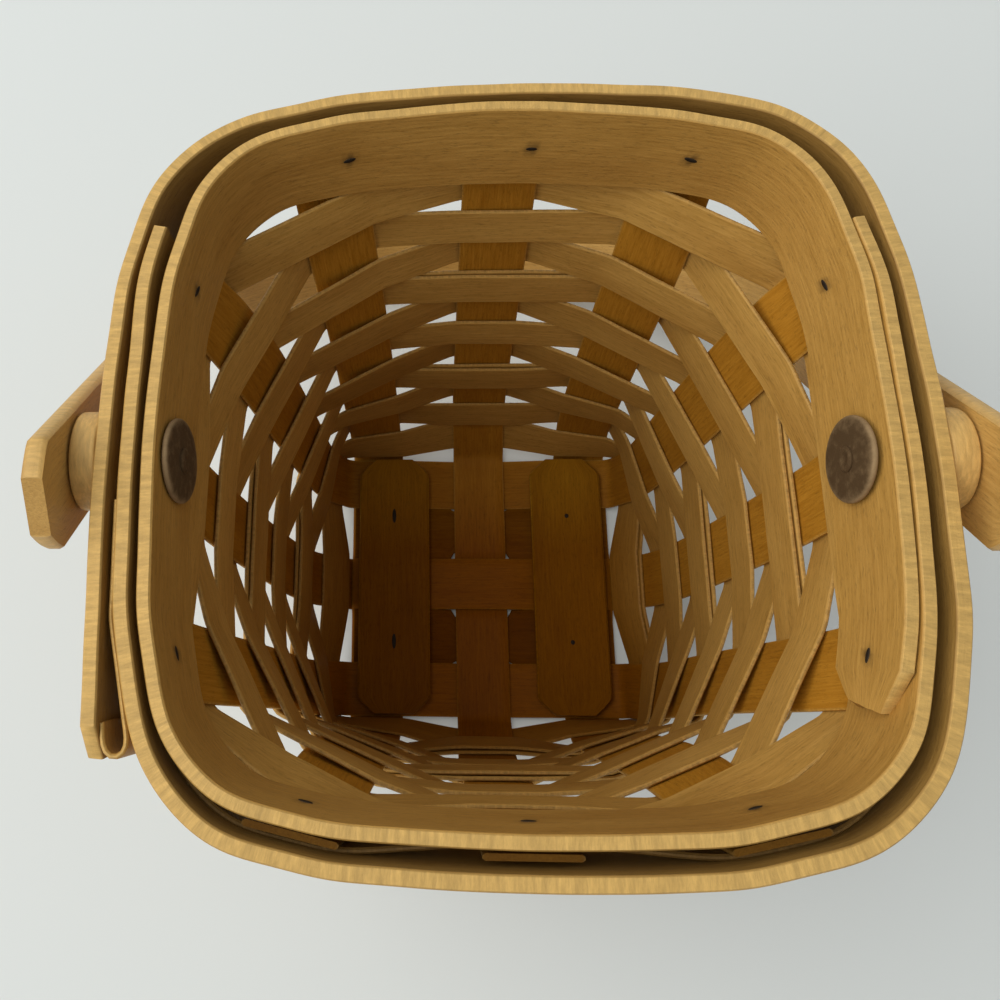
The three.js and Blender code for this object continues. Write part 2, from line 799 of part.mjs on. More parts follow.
// Holes
const rimLines = rimTackLines();
const rimTackDrills = rimLines.map((line) =>
  drillBar(
    alongLine(line, -line.inner - bandThick),
    alongLine(line, line.outer + bandThick),
    tackRadius + tackGap,
    tackSides,
  ),
);
const rivetDrill = drillBar(
  new THREE.Vector3(-2 * rimHalfX, rivetY, rivetZ),
  new THREE.Vector3(2 * rimHalfX, rivetY, rivetZ),
  rivetRadius + pinGap,
  roundSides / 2,
);
const floorTackSpots = [-slatMiddle, slatMiddle].flatMap((x) =>
  [fillerOuter - backTackInset, frontTackInset - fillerOuter].map(
    (y) => new THREE.Vector3(x, y, 0),
  ),
);
const floorTackDrills = floorTackSpots.flatMap((spot) => {
  const below = spot.clone().setZ(-1);
  const recess = spot.clone().setZ(tackHeadThick + tackGap);
  const above = spot.clone().setZ(slatBottom + slatThick + 1);
  return [
    drillBar(below, above, tackRadius + tackGap, tackSides),
    drillBar(below, recess, tackHeadRadius + tackGap, tackSides),
  ];
});
const rimDrills = [...rimTackDrills, rivetDrill];

function rimTack(line) {
  const start = -line.inner - tackGap - tackHeadThick;
  const length = line.outer + tackGap + tackTipThick - start;
  return aimed(tack(rimTackHeadRadius, length), alongLine(line, start), line.way);
}

function floorTack(spot) {
  const length = slatBottom + slatThick + tackGap + tackTipThick;
  return tack(tackHeadRadius, length).translate(spot.x, spot.y, 0);
}

const basket = new THREE.Group();

function addPiece(name, geometry, colour, roughness = 0.62, metalness = 0) {
  const material = new THREE.MeshStandardMaterial({ color: colour, roughness, metalness });
  const mesh = new THREE.Mesh(geometry, material);
  mesh.name = name;
  basket.add(mesh);
}

const stakeDrills = [...rimDrills, ...floorTackDrills];
["left", "centre", "right"].forEach((side, i) => {
  addPiece(`stake_y_${side}`, drilled(uprightStrip(true, i - 1), stakeDrills), stakeColour);
});
["front", "middle", "back"].forEach((side, i) => {
  addPiece(`stake_x_${side}`, drilled(uprightStrip(false, i - 1), stakeDrills), stakeColour);
});
addPiece("filler_back", drilled(fillerStrip(1), floorTackDrills), floorColour);
addPiece("filler_front", drilled(fillerStrip(-1), floorTackDrills), floorColour);
addPiece("slat_left", drilled(slat(-1), floorTackDrills), slatColour);
addPiece("slat_right", drilled(slat(1), floorTackDrills), slatColour);
for (let row = 0; row < weaverRows; row += 1) {
  const strip = weaverStrip(row);
  const underBands = row === weaverRows - 1;
  const name = `weaver_${String(row + 1).padStart(2, "0")}`;
  addPiece(name, underBands ? drilled(strip, rimDrills) : strip, weaverColour);
}
addPiece("inner_rim_band", drilled(innerBand(), rimDrills), bandColour);
addPiece("outer_rim_band", drilled(outerBand(), rimDrills), bandColour);
addPiece("rim_thin_strip", drilled(thinStrip(), rimDrills), bandColour);
rimLines.forEach((line, i) => {
  addPiece(`rim_tack_${String(i + 1).padStart(2, "0")}`, rimTack(line), tackColour, 0.5, 0.85);
});
floorTackSpots.forEach((spot, i) => {
  addPiece(`floor_tack_${i + 1}`, floorTack(spot), tackColour, 0.5, 0.85);
});
[
  ["left", -1],
  ["right", 1],
].forEach(([side, sign]) => {
  addPiece(`spacer_${side}`, spacer(sign), handleColour);
  addPiece(`washer_${side}`, washer(sign), rivetColour, 0.5, 0.85);
  addPiece(`rivet_${side}`, rivet(sign), rivetColour, 0.5, 0.85);
});
addPiece("handle_hoop", drilled(handleHoop(), [rivetDrill]), handleColour, 0.55);

export default basket;
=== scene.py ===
"""The looks of a small splint basket with a swing handle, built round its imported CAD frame.

Sizes are in millimetres, as in the CAD source, and meshes are written in metres. The basket's
back is towards +Y and its left rivet towards -X.
"""

import math

import bpy
import numpy as np
from mathutils import Matrix, Vector


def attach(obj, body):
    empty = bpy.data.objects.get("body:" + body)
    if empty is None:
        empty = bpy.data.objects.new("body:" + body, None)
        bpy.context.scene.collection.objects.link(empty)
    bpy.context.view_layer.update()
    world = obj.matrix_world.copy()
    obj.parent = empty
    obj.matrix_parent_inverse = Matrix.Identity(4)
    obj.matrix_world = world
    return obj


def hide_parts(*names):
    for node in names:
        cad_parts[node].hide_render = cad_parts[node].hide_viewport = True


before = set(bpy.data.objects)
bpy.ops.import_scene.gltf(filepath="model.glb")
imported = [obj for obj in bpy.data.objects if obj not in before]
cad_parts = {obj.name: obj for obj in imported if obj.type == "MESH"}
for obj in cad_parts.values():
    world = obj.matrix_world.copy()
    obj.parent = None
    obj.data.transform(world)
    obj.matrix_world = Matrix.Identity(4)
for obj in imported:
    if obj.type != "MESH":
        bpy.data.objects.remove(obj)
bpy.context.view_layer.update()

MM = 0.001

# Strips
FIT_GAP = 0.25
PIN_GAP = 0.3
TOUCH_GAP = 0.05  # closes a slit
STAKE_WIDTH = 12.7
STAKE_THICK = 0.9
WEAVER_THICK = 0.8
BAND_THICK = 1.6
BAND_HEIGHT = 15.9
INNER_BAND_THICK = 2.05
OUTER_BAND_THICK = 2.2
THIN_STRIP_THICK = 0.7
THIN_STRIP_HEIGHT = 13.5
HANDLE_WIDTH = 16.8
HANDLE_THICK = 2.9
SLAT_WIDTH = 17.5
SLAT_THICK = 2.0

# Floor
FOOT_MARGIN = 1.75  # from the outer floor strips' edges to the foot of the wall
FOOT_BEND = 1.9
FOOT_BEND_RISE = 0.4
JOG_GAP = 0.4
JOG_SHARE = 0.3  # half a jog's run, as a share of the thickness
RAMP_MARGIN = 1.3
FILLER_SLIT = 0.5
FILLER_END_GAP = 2.4
FILLER_WIDENING = 1.75
SLAT_SIDE_GAP = 3.55
SLAT_END_GAP = 2.2
SLAT_CLIP = 4.0

# Walls, at the middle of the uprights' thickness
FOOT_HALF = 33.9
FOOT_RISE = 1.2
FLARE = 6.6
FLARE_HEIGHT = 8.0
WALL_SLOPE = 0.11
RIM_HALF_X = 54.2
RIM_HALF_Y = 54.7
RIM_SHIFT = -1.8
BASKET_HEIGHT = 119.2
CORNER_REACH = 0.3
STAKE_FAN = 5.0
FAN_POWER = 3
RIM_TWIST = math.radians(13)
RIM_SAG = 2.3
STAKE_END_DROP = 2.6
SIDE_STAKE_END_DROP = 5.5

# The weave pulls the outer uprights in between the floor and the rim bands
WEAVE_SAG = 5.0
WEAVE_TWIST = math.radians(17)
WEAVE_LEAN = 1.8
WEAVE_SETTLE = 0.15
WEAVE_RETURN = 8

# Weave
ROWS = 12
ROW_SLIT = 0.35
SQUARE_ROWS = 3  # the lowest rows lie flat on every upright
FRONT_STAND_OFF = 1.5  # the row under the bands, at the front wall's outer uprights
LAP_INSET = 2.0
BUTT_SLIT = 0.8
BUTT_SIDE = 3.0
TOP_ROW_LIFT = 2.4

# Rim bands
INNER_LAP_START = -3.0
INNER_LAP_END = 6.8
OUTER_LAP_START = 2.5
OUTER_LAP_END = -11.2
LOOSE_END_TURN = math.radians(9.4)
LOOSE_ROOM = 0.05
INNER_END_CLIP = 5.0
OUTER_END_CLIP = 4.0
INNER_BAND_LAP = 2.1
THIN_STRIP_HEAD = -8.5
THIN_STRIP_FOLD = 0.7
THIN_STRIP_BEND = 1.6
THIN_STRIP_TAIL = 5.0
THIN_STRIP_TAIL_LEAN = 0.3
THIN_STRIP_TURN = 0.25  # share of the fold's depth
THIN_STRIP_NEAR_GAP = 0.15
THIN_STRIP_FAR_GAP = 0.1

# How far the bands' top edges lean into the slot between them, for each upright from the back
# wall's left one, and the share of it at their bottom edges
INNER_LEAN = (0.9, 1.5, 0.6, 1.6, 1.1, 0.75, 0.35, 0.35, 0.45, 0.25, 0.25, 0.3)
INNER_LAP_LEAN = (1.5, 1.0, 0.5)
OUTER_LEAN = (0.6, 0.5, 0.3, 0.1, 0.15, 0.15, 0.0, 0.0, 0.0, 1.7, 1.9, 1.0)
INNER_FOOT_LEAN = 0.4
OUTER_FOOT_LEAN = 0.6

# Tacks and rivets
TACK_RADIUS = 0.6
TACK_FLATNESS = 0.38
TACK_STAND = 0.12
TACK_CROWN = 0.6
RIM_HEAD = (1.05, 0.2)  # radius and thickness
RIM_TIP = (0.95, 0.2)
FLOOR_HEAD = (1.8, 0.4)
LEFT_FLOOR_TIP = (2.0, 0.2)
LEFT_FLOOR_FLATNESS = 0.27
RIGHT_FLOOR_TIP = (0.62, 0.2)
RIGHT_FLOOR_FLATNESS = 0.9
BACK_TACK_INSET = 2.15
FRONT_TACK_INSET = 4.35
RIM_TACK_DROP = 8.2
BACK_TACK_SIDE = 4.4
SIDE_TACK_FRONT = 2.8
RIVET_RADIUS = 1.8
RIVET_HEAD_RADIUS = 6.2
RIVET_HEAD_THICK = 2.2
RIVET_HEAD_EDGE = 1.3
RIVET_BUTTON_RADIUS = 1.9
RIVET_BUTTON_THICK = 0.5
RIVET_BUTTON_DIMPLE = 0.28
# Shares of the radius and of the dimple
RIVET_BUTTON_RING = ((0, 1), (0.4, 0.9), (0.6, 0.15), (0.74, 0), (0.9, 0.3), (1, 1.1), (1, 1.5))
RIVET_BUTTON_SINK = 0.1  # into the washer's dome
RIVET_SHANK_SINK = 0.2
RIVET_HEAD_BEVEL = 0.15
RIVET_DROP = 7.5
RIVET_Y = -1.3
WASHER_RADIUS = 6.3
WASHER_THICK = 1.1
WASHER_BEVEL = 0.4
WASHER_CROWN = 0.2
SPACER_RADIUS = 7.3
LEFT_SPACER_THICK = 4.7
RIGHT_SPACER_THICK = 4.6
SPACER_BEVEL = 0.5

# Handle
HANDLE_TAB = 15.7
HANDLE_CLIP = 4.0
HANDLE_ANGLE = math.radians(50)
TABLE_GAP = 0.4
ARCH_TURNS = 65

# Worked out from the sizes above
FLOOR_TOP = 2 * STAKE_THICK + PIN_GAP
LOW_LEVEL = STAKE_THICK / 2
HIGH_LEVEL = FLOOR_TOP - STAKE_THICK / 2
STAKE_PITCH = FOOT_HALF - FOOT_MARGIN - STAKE_WIDTH / 2
JOG_SLIT = STAKE_THICK + 2 * JOG_GAP
FILLER_INNER = STAKE_WIDTH / 2 + JOG_SLIT
FILLER_OUTER = STAKE_PITCH - STAKE_WIDTH / 2 - FILLER_SLIT
WALL_FOOT = FLOOR_TOP + FOOT_RISE
WALL_HEIGHT = BASKET_HEIGHT - WALL_FOOT
WEAVER_OFFSET = STAKE_THICK / 2 + FIT_GAP + WEAVER_THICK / 2
WEAVER_LAP = WEAVER_THICK + FIT_GAP
BAND_OFFSET = STAKE_THICK / 2 + WEAVER_THICK + 2 * FIT_GAP + BAND_THICK / 2
BAND_FACE = BAND_OFFSET + BAND_THICK / 2
BAND_LAP = BAND_THICK + FIT_GAP
BAND_BOTTOM = BASKET_HEIGHT - BAND_HEIGHT
ROW_PITCH = (BAND_BOTTOM - WALL_FOOT) / (ROWS - 1)
RIVET_Z = BASKET_HEIGHT - RIVET_DROP
SLAT_BOTTOM = FLOOR_TOP + PIN_GAP
SLAT_MIDDLE = FOOT_HALF - SLAT_SIDE_GAP - SLAT_WIDTH / 2
SLAT_HALF_LENGTH = FOOT_HALF - SLAT_END_GAP
FRONT_WALL = 2  # walls and uprights are counted clockwise, from the back wall's left upright
RIGHT_WALL = 1
RIGHT_MIDDLE = 4
LEFT_FRONT = 9
LEFT_MIDDLE = 10
LEFT_BACK = 11
UPRIGHTS = 12
# Where a crosswise strip leaves the centre strip, and where it meets the next one
RAMP_NEAR = STAKE_WIDTH / 2 + RAMP_MARGIN
RAMP_FAR = STAKE_PITCH - STAKE_WIDTH / 2 - RAMP_MARGIN

# How finely strips are divided
STEP = 1.0  # along a strip
STRIP_LEVELS = 7  # across it
BAND_LEVELS = 11
HANDLE_LEVELS = 9
STAKE_LEVELS = (-1, -0.94, -0.6, -0.2, 0.2, 0.6, 0.94, 1)
EDGE_LEVEL = 0.5  # from a standing strip's edge to its next level
FLAT_EDGE_LEVEL = 0.95
CORNER_TURNS = np.linspace(0, 1, 10)[1:-1]
BEVEL_TURNS = np.linspace(0, math.pi / 2, 5)
HEAD_TURNS = np.linspace(0, math.pi / 2, 9)
DOME_SHARES = (0.35, 0.7, 1)
PIECE_SIDES = 72
TACK_SIDES = 24
TINY = 1e-6

# Lengths over which a bend is spread, and how round the edges are
WEAVER_SOFTNESS = 1.8
BAND_SOFTNESS = 11.0
THIN_STRIP_SOFTNESS = 1.5
STAKE_SOFTNESS = 3.0
FLAT_SOFTNESS = 1.0
HANDLE_SOFTNESS = 4.0
STRIP_EDGE = 0.25
SLAT_EDGE = 0.45
HANDLE_EDGE = 0.7
MOST_ROUNDING = 0.75
CLIP_POWER = 1.25
SHARP_ANGLE = math.radians(38)

# How rough the strips are
RIPPLE_SCALES = ((1.0, 0.6), (0.47, 0.3), (0.21, 0.16))
EDGE_WAVE = 47  # wavelengths along a strip
SIDE_WAVE = 61
SIDE_WAVER = 0.8
STRIP_WAVER = 0.1
BAND_WAVER = 0.14
WEAVER_RAGGEDNESS = 0.4
BAND_RAGGEDNESS = 0.1
THIN_STRIP_RAGGEDNESS = 0.3

# Each strip and round piece lies in its own part of the grain
GRAIN_ALONG = (613.0, 37)
GRAIN_ACROSS = (71.0, 53)
GRAIN_ROUND = 37.0

# Stains, painted shade and wood
FLOOR_SHADE_HEIGHT = 38.0  # painted shade makes the wood darker near the floor, higher up at the front and less so at the back
FLOOR_SHADE_BACK = 36.0  # and less so at the back
FLOOR_SHADE_FADE = 28.0
FLOOR_SHADE_LEAST = 0.35
FLOOR_SHADE_POWER = 1.5
STAIN_REACH = 0.9  # round a tack
SLOT_SHADE_START = 4.0  # painted shade darkens the wood in the slot between the bands
SLOT_SHADE_RISE = 8.0
SLOT_SHADE = 0.75
SLOT_FACE_SHADE = 0.45
WOOD_FLECK = 0.3
WOOD_RELIEF = 0.45
# painted shade near the floor: the colour the wood is multiplied by there, and how strongly
FLOOR_SHADE_COLOUR = (0.50, 0.325, 0.02, 1)
FLOOR_SHADE_STRENGTH = 0.97
# dark colour of the stains round the tacks and of the painted shade in the slot between the bands
STAIN_AND_SHADE_COLOUR = (0.03, 0.014, 0.005, 1)
STAIN_AND_SHADE_STRENGTH = 0.9

# Floor, light and camera, in metres
FLOOR_SIZE = 6.0
FLOOR_COLOUR = (0.705, 0.735, 0.715, 1)
FLOOR_DROP = 0.0002  # keeps the floor clear of the strips that stand on it
WORLD_COLOUR = (0.93, 0.96, 0.98, 1)
WORLD_LIGHT = 0.42
WORLD_SEEN = 0.74
LAMP_TARGET = (0, 0, 0.06)
CAMERA_PLACE = (-0.01631, -0.04385, 0.2511)
CAMERA_TURNS = (0.309, 0.052, 0.013)  # about X, Y and Z
LENS = 36.0
SENSOR = 36.0
CAMERA_SHIFT = (0.1385, -0.0519)
CLIP_START = 0.005


# The walls


def wall_half(z, rim_half):
    """Half width of the wall at a height."""
    up = z - WALL_FOOT
    bow = (rim_half - FOOT_HALF - FLARE - WALL_SLOPE * WALL_HEIGHT) / WALL_HEIGHT**2
    quick = FLARE * (1 - math.exp(-up / FLARE_HEIGHT))
    return FOOT_HALF + quick + WALL_SLOPE * up + bow * up * up


def weave_share(z):
    """How far the weave has its own shape: not at the foot, and not at the bands."""
    up = min((z - WALL_FOOT) / (BAND_BOTTOM - WALL_FOOT), 1)
    return (1 - math.exp(-up / WEAVE_SETTLE)) * (1 - up**WEAVE_RETURN)


def turn_to_wall(wall, along, out):
    return ((along, out), (out, -along), (-along, -out), (-out, along))[wall]


def edge_place(upright, z, side):
    """The point in plan at a distance to the side of an upright's middle, and the way out."""
    wall, place = upright // 3, upright % 3 - 1
    crosswise = wall % 2 == 1
    share = (z - WALL_FOOT) / WALL_HEIGHT
    own = weave_share(z)
    twist = place * (RIM_TWIST * share + WEAVE_TWIST * own)
    sag = abs(place) * (RIM_SAG * share + WEAVE_SAG * own)
    along = place * (STAKE_PITCH + STAKE_FAN * share**FAN_POWER) + side * math.cos(twist)
    out = wall_half(z, RIM_HALF_X if crosswise else RIM_HALF_Y) - sag - side * math.sin(twist)
    x, y = turn_to_wall(wall, along, out)
    nx, ny = turn_to_wall(wall, math.sin(twist), math.cos(twist))
    lean = WEAVE_LEAN * own if crosswise else 0
    return np.array((x + RIM_SHIFT * math.sqrt(share), y - lean, nx, ny))


def upright_place(upright, z, side):
    """The same at any height, straight from one row's edge to the next."""
    row = min(max(int((z - WALL_FOOT) // ROW_PITCH), 0), ROWS - 1)
    low = WALL_FOOT + row * ROW_PITCH
    high = BASKET_HEIGHT if row == ROWS - 1 else low + ROW_PITCH
    up = (z - low) / (high - low)
    upright %= UPRIGHTS
    return (1 - up) * edge_place(upright, low, side) + up * edge_place(upright, high, side)


def corner_place(upright, z, edge, turn):
    """A place on the round corner after an upright."""
    ax, ay, anx, any_ = upright_place(upright, z, edge)
    bx, by, bnx, bny = upright_place(upright + 1, z, -edge)
    reach = CORNER_REACH * math.hypot(bx - ax, by - ay)
    leaving = (ax + reach * any_, ay - reach * anx)
    arriving = (bx - reach * bny, by + reach * bnx)
    points = np.array(((ax, ay), leaving, arriving, (bx, by)))
    u = 1 - turn
    place = u**3 * points[0] + 3 * u * u * turn * points[1]
    place = place + 3 * u * turn * turn * points[2] + turn**3 * points[3]
    legs = np.diff(points, axis=0)
    way = u * u * legs[0] + 2 * u * turn * legs[1] + turn * turn * legs[2]
    way /= np.linalg.norm(way)
    return np.array((place[0], place[1], -way[1], way[0]))


# Strips


def ripple(run, seed, wavelength, size):
    """A smooth random wave along a strip, the same on each run."""
    rng = np.random.default_rng(seed)
    total = np.zeros_like(run, dtype=float)
    for scale, share in RIPPLE_SCALES:
        phase = rng.uniform(0, 2 * math.pi)
        total += share * np.sin(2 * math.pi * run / (scale * wavelength) + phase)
    return size * total


def soften(values, reach):
    """Spreads the bends of a path over a number of its steps. Its ends stay where they are."""
    if reach < 1:
        return values
    kernel = np.hanning(2 * reach + 3)[1:-1]
    kernel /= kernel.sum()
    padding = [(reach, reach)] + [(0, 0)] * (values.ndim - 1)
    padded = np.pad(values, padding, mode="reflect", reflect_type="odd")
    return sum(k * padded[i : i + len(values)] for i, k in enumerate(kernel))


def divided(path, step):
    """Where to divide a path of points: the number of the leg and the share along it."""
    legs = np.linalg.norm(np.diff(path, axis=0), axis=1)
    run = np.concatenate(([0], np.cumsum(legs)))
    places = np.linspace(0, run[-1], max(2, round(run[-1] / step) + 1))
    leg = np.clip(np.searchsorted(run, places, side="right") - 1, 0, len(legs) - 1)
    return leg, (places - run[leg]) / legs[leg], places


def unit(vectors):
    return vectors / np.linalg.norm(vectors, axis=-1, keepdims=True)


class Strip:
    """A grid of points on the middle surface of a strip: sections along it, levels across it."""

    def __init__(self, grid, run, across, thick, seed, round_edge=STRIP_EDGE):
        self.grid = grid
        self.run = run
        self.across = across
        self.thick = thick
        self.seed = seed
        self.round_edge = round_edge

    def normals(self):
        along = np.gradient(self.grid, axis=0)
        over = np.gradient(self.grid, axis=1)
        return unit(np.cross(along, over))

    def shell(self):
        """Closed, round-edged mesh data: points, faces and the values that the wood reads."""
        sections, levels, _ = self.grid.shape
        normals = self.normals()
        half = self.thick / 2
        shoulder = 1 - min(self.round_edge / half, MOST_ROUNDING)
        last = levels - 1
        ring = [(k, 1.0) for k in range(1, last)] + [(last, shoulder), (last, -shoulder)]
        ring += [(k, -1.0) for k in range(last - 1, 0, -1)] + [(0, -shoulder), (0, shoulder)]
        level = np.array([k for k, _ in ring])
        depth = np.array([d for _, d in ring])
        points = self.grid[:, level] + normals[:, level] * (half * depth)[None, :, None]
        count = len(ring)
        place = np.empty((sections, count, 3))
        place[..., 0] = self.run[:, None] + GRAIN_ALONG[0] * (self.seed % GRAIN_ALONG[1])
        place[..., 1] = self.across[level] + GRAIN_ACROSS[0] * (self.seed % GRAIN_ACROSS[1])
        place[..., 2] = (half * depth)[None, :]
        edge = np.broadcast_to(((level == 0) | (level == last)) * 1.0, (sections, count))
        i, k = np.meshgrid(np.arange(sections - 1), np.arange(count), indexing="ij")
        n = (k + 1) % count
        quads = np.stack(
            (i * count + k, (i + 1) * count + k, (i + 1) * count + n, i * count + n), -1
        ).reshape(-1, 4)
        faces = quads.tolist()
        faces += self.cap(0, count, levels) + self.cap((sections - 1) * count, count, levels, True)
        return points.reshape(-1, 3), faces, place.reshape(-1, 3), edge.reshape(-1)

    @staticmethod
    def cap(start, count, levels, flip=False):
        """Faces across an end of the strip."""
        top = levels - 2
        faces = []
        for k in range(top - 1):
            low, high = count - 3 - k, count - 4 - k
            faces.append([start + k, start + k + 1, start + high, start + low])
        faces.append([start + count - 1, start, start + count - 3, start + count - 2])
        faces.append([start + top - 1, start + top, start + top + 1, start + top + 2])
        return [face[::-1] for face in faces] if flip else faces


def add_mesh(name, points, faces, place, edge, stain_and_shade=None):
    """A mesh object from millimetres, with the values that its material reads at each point."""
    # Painted shade: the wood gets darker towards the floor, higher up at the front and less at the back
    shade_height = FLOOR_SHADE_HEIGHT * (1 + np.clip(-points[:, 1] / FLOOR_SHADE_BACK, 0, 1))
    painted_floor_shade = np.clip(1 - points[:, 2] / shade_height, 0, 1) ** FLOOR_SHADE_POWER
    painted_floor_shade *= np.clip((FLOOR_SHADE_BACK - points[:, 1]) / FLOOR_SHADE_FADE, FLOOR_SHADE_LEAST, 1)
    mesh = bpy.data.meshes.new(name)
    mesh.from_pydata((points * MM).tolist(), [], faces)
    grain = mesh.attributes.new("grain", "FLOAT_VECTOR", "POINT")
    grain.data.foreach_set("vector", (place * MM).astype(np.float32).ravel())
    for label, values in (("edge", edge), ("stain_and_shade", stain_and_shade), ("painted_floor_shade", painted_floor_shade)):
        if values is not None:
            layer = mesh.attributes.new(label, "FLOAT", "POINT")
            layer.data.foreach_set("value", np.asarray(values, np.float32).ravel())
    mesh.polygons.foreach_set("use_smooth", [True] * len(mesh.polygons))
    mesh.set_sharp_from_angle(angle=SHARP_ANGLE)
    mesh.update()
    thing = bpy.data.objects.new(name, mesh)
    bpy.context.scene.collection.objects.link(thing)
    return thing


def dress(thing, node, slot, body="basket"):
    """Puts a finished piece in the place of its CAD node."""
    thing.data.materials.append(MATERIALS[slot])
    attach(thing, body)
    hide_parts(node)


def stain_round(points, spots):
    """How near each point is to the nearest of the spots, from 1 at it down to 0."""
    if not len(spots):
        return np.zeros(len(points))
    spread = points[:, None, :] - np.asarray(spots)[None, :, :]
    return np.exp(-((np.linalg.norm(spread, axis=2) / STAIN_REACH) ** 2)).max(axis=1)


# Strips that go round the walls


def station(upright, side, offset, inset=0.0):
    """A place that a strip passes, how far out it lies there and how much its edges draw in."""
    return (lambda z: upright_place(upright, z, side)), offset, inset


def stations_round(first, last, edge, offset, bends_round=True):
    """The places a strip passes: both edges of each upright and, if it bends, the corners."""
    stations = []
    for upright in range(first, last + 1):
        stations.append(station(upright, -edge, offset(upright)))
        stations.append(station(upright, edge, offset(upright)))
        if bends_round and upright < last and upright % 3 == 2:
            for turn in CORNER_TURNS:
                place = lambda z, u=upright, t=turn: corner_place(u, z, edge, t)
                mixed = (1 - turn) * offset(upright) + turn * offset(upright + 1)
                stations.append((place, mixed, 0.0))
    return stations


def pulled_tight(stations, loose, low, high):
    """Leaves out each loose station that a straight line past it runs inside of."""

    def outside_line(i, z):
        spots = [(stations[k][0](z), stations[k][1]) for k in (i - 1, i, i + 1)]
        start, own, end = [spot[:2] + offset * spot[2:] for spot, offset in spots]
        way, lead = end - start, own - start
        return way[0] * lead[1] - way[1] * lead[0] > 0

    dropped = {i for i in loose if outside_line(i, low) and outside_line(i, high)}
    return [own for i, own in enumerate(stations) if i not in dropped]


def standing_strip(
    stations, low, high, thick, seed, softness,
    levels=STRIP_LEVELS, waver=STRIP_WAVER, raggedness=0.0, lean=(0, 1),
):
    """A strip that stands between two heights and goes through its stations.

    lean has how far each station's top leans out, and the share of that at the bottom.
    """
    inner = np.linspace(-1, 1, levels - 2) * (1 - EDGE_LEVEL / (high - low))
    across = np.concatenate(([-1], inner, [1]))
    offsets = np.array([offset for _, offset, _ in stations])
    insets = np.array([inset for _, _, inset in stations])
    middle, half = (low + high) / 2, (high - low) / 2

    def path(z):
        spots = np.array([place(z) for place, _, _ in stations])
        leaning = lean[1] + (1 - lean[1]) * (z - low) / (high - low)
        reach_out = offsets + np.asarray(lean[0]) * leaning
        return spots[:, :2] + reach_out[:, None] * spots[:, 2:]

    leg, share, run = divided(path(middle), STEP)
    reach = round(softness / STEP / 2)

    def spread(values):
        part = share if values.ndim == 1 else share[:, None]
        return (1 - part) * values[leg] + part * values[leg + 1]

    inset = spread(insets)
    columns = []
    for v in across:
        flat = soften(spread(path(middle + v * half)), reach)
        wave = ripple(run, seed + (v > 0), EDGE_WAVE, waver * abs(v))
        columns.append(np.column_stack((flat, middle + v * (half - inset) + wave)))
    grid = np.stack(columns, axis=1)
    strip = Strip(grid, run, across * half, thick, seed)
    wave = ripple(run, seed + 5, SIDE_WAVE, waver * SIDE_WAVER)
    grid += strip.normals() * wave[:, None, None]
    if raggedness:
        for end, way in ((0, grid[0] - grid[1]), (-1, grid[-1] - grid[-2])):
            rough = np.random.default_rng(seed + 9 - end).uniform(-1, 0.3, levels)
            grid[end] += unit(way) * (raggedness * rough)[:, None]
    return strip


def band_strip(stations, thick, seed, leans, foot_lean):
    """A rim band through its stations. leans has how far out its top leans at each of them."""
    return standing_strip(
        stations, BAND_BOTTOM, BASKET_HEIGHT, thick, seed, BAND_SOFTNESS,
        BAND_LEVELS, BAND_WAVER, BAND_RAGGEDNESS, (leans, foot_lean),
    )


def weaver_strip(row):
    """A row of the weave. The last one, between the bands, butts; the others lap on one wall."""
    butt = row == ROWS - 1
    low = WALL_FOOT + row * ROW_PITCH + ROW_SLIT / 2 + (TOP_ROW_LIFT if butt else 0)
    high = low + ROW_PITCH - ROW_SLIT
    laps = 1 if butt else 3
    first = LEFT_MIDDLE - 3 if butt else 3 * ((row + 1) % 4)
    last = first + UPRIGHTS + laps - 1

    def offset(upright):
        start_lap = not butt and upright < first + laps
        end_lap = not butt and upright > last - laps
        if (upright + row) % 2 == 1:
            return WEAVER_OFFSET + (WEAVER_LAP if start_lap else 0)
        return -WEAVER_OFFSET - (WEAVER_LAP if end_lap else 0)

    stations = stations_round(first, last, STAKE_WIDTH / 2 + FIT_GAP, offset, butt)
    loose = []
    if row >= SQUARE_ROWS and not butt:
        for upright in range(first + laps, last - laps + 1):
            inside = (upright + row) % 2 == 0
            if not inside or upright % 3 == 1:
                continue
            # The edge of the upright towards the wall's corner
            index = 2 * (upright - first) + (1 if upright % 3 == 2 else 0)
            if row == ROWS - 2 and upright % UPRIGHTS // 3 == FRONT_WALL:
                place, off, inset = stations[index]
                stations[index] = (place, off - FRONT_STAND_OFF, inset)
            else:
                loose.append(index)
    lap_side = STAKE_WIDTH / 2 - LAP_INSET
    start, end = (BUTT_SIDE, BUTT_SIDE - BUTT_SLIT) if butt else (-lap_side, lap_side)
    stations[0] = station(first, start, offset(first))
    stations[-1] = station(last, end, offset(last))
    stations = pulled_tight(stations, loose, low, high)
    softness = BAND_SOFTNESS if butt else WEAVER_SOFTNESS
    return standing_strip(
        stations, low, high, WEAVER_THICK, 100 + row, softness, raggedness=WEAVER_RAGGEDNESS
    )


def inner_band():
    """It goes once round, and its end laps on the right wall with its corners clipped."""
    first = RIGHT_MIDDLE - 1
    last = first + UPRIGHTS + 2

    def offset(upright):
        return -BAND_OFFSET if upright < first + UPRIGHTS else -BAND_OFFSET - INNER_BAND_LAP

    def lean(upright):
        lapped = upright >= first + UPRIGHTS
        return INNER_LAP_LEAN[upright - last - 1] if lapped else INNER_LEAN[upright % UPRIGHTS]

    stations = stations_round(first, last, STAKE_WIDTH / 2, offset)
    leans = [amount for _, amount, _ in stations_round(first, last, STAKE_WIDTH / 2, lean)]
    stations[0] = station(first, INNER_LAP_START, offset(first))
    stations.pop()
    stations.append(station(last, INNER_LAP_END - INNER_END_CLIP, offset(last)))
    stations.append(station(last, INNER_LAP_END, offset(last), INNER_END_CLIP))
    leans.append(lean(last))
    return band_strip(stations, INNER_BAND_THICK, 301, leans, INNER_FOOT_LEAN)


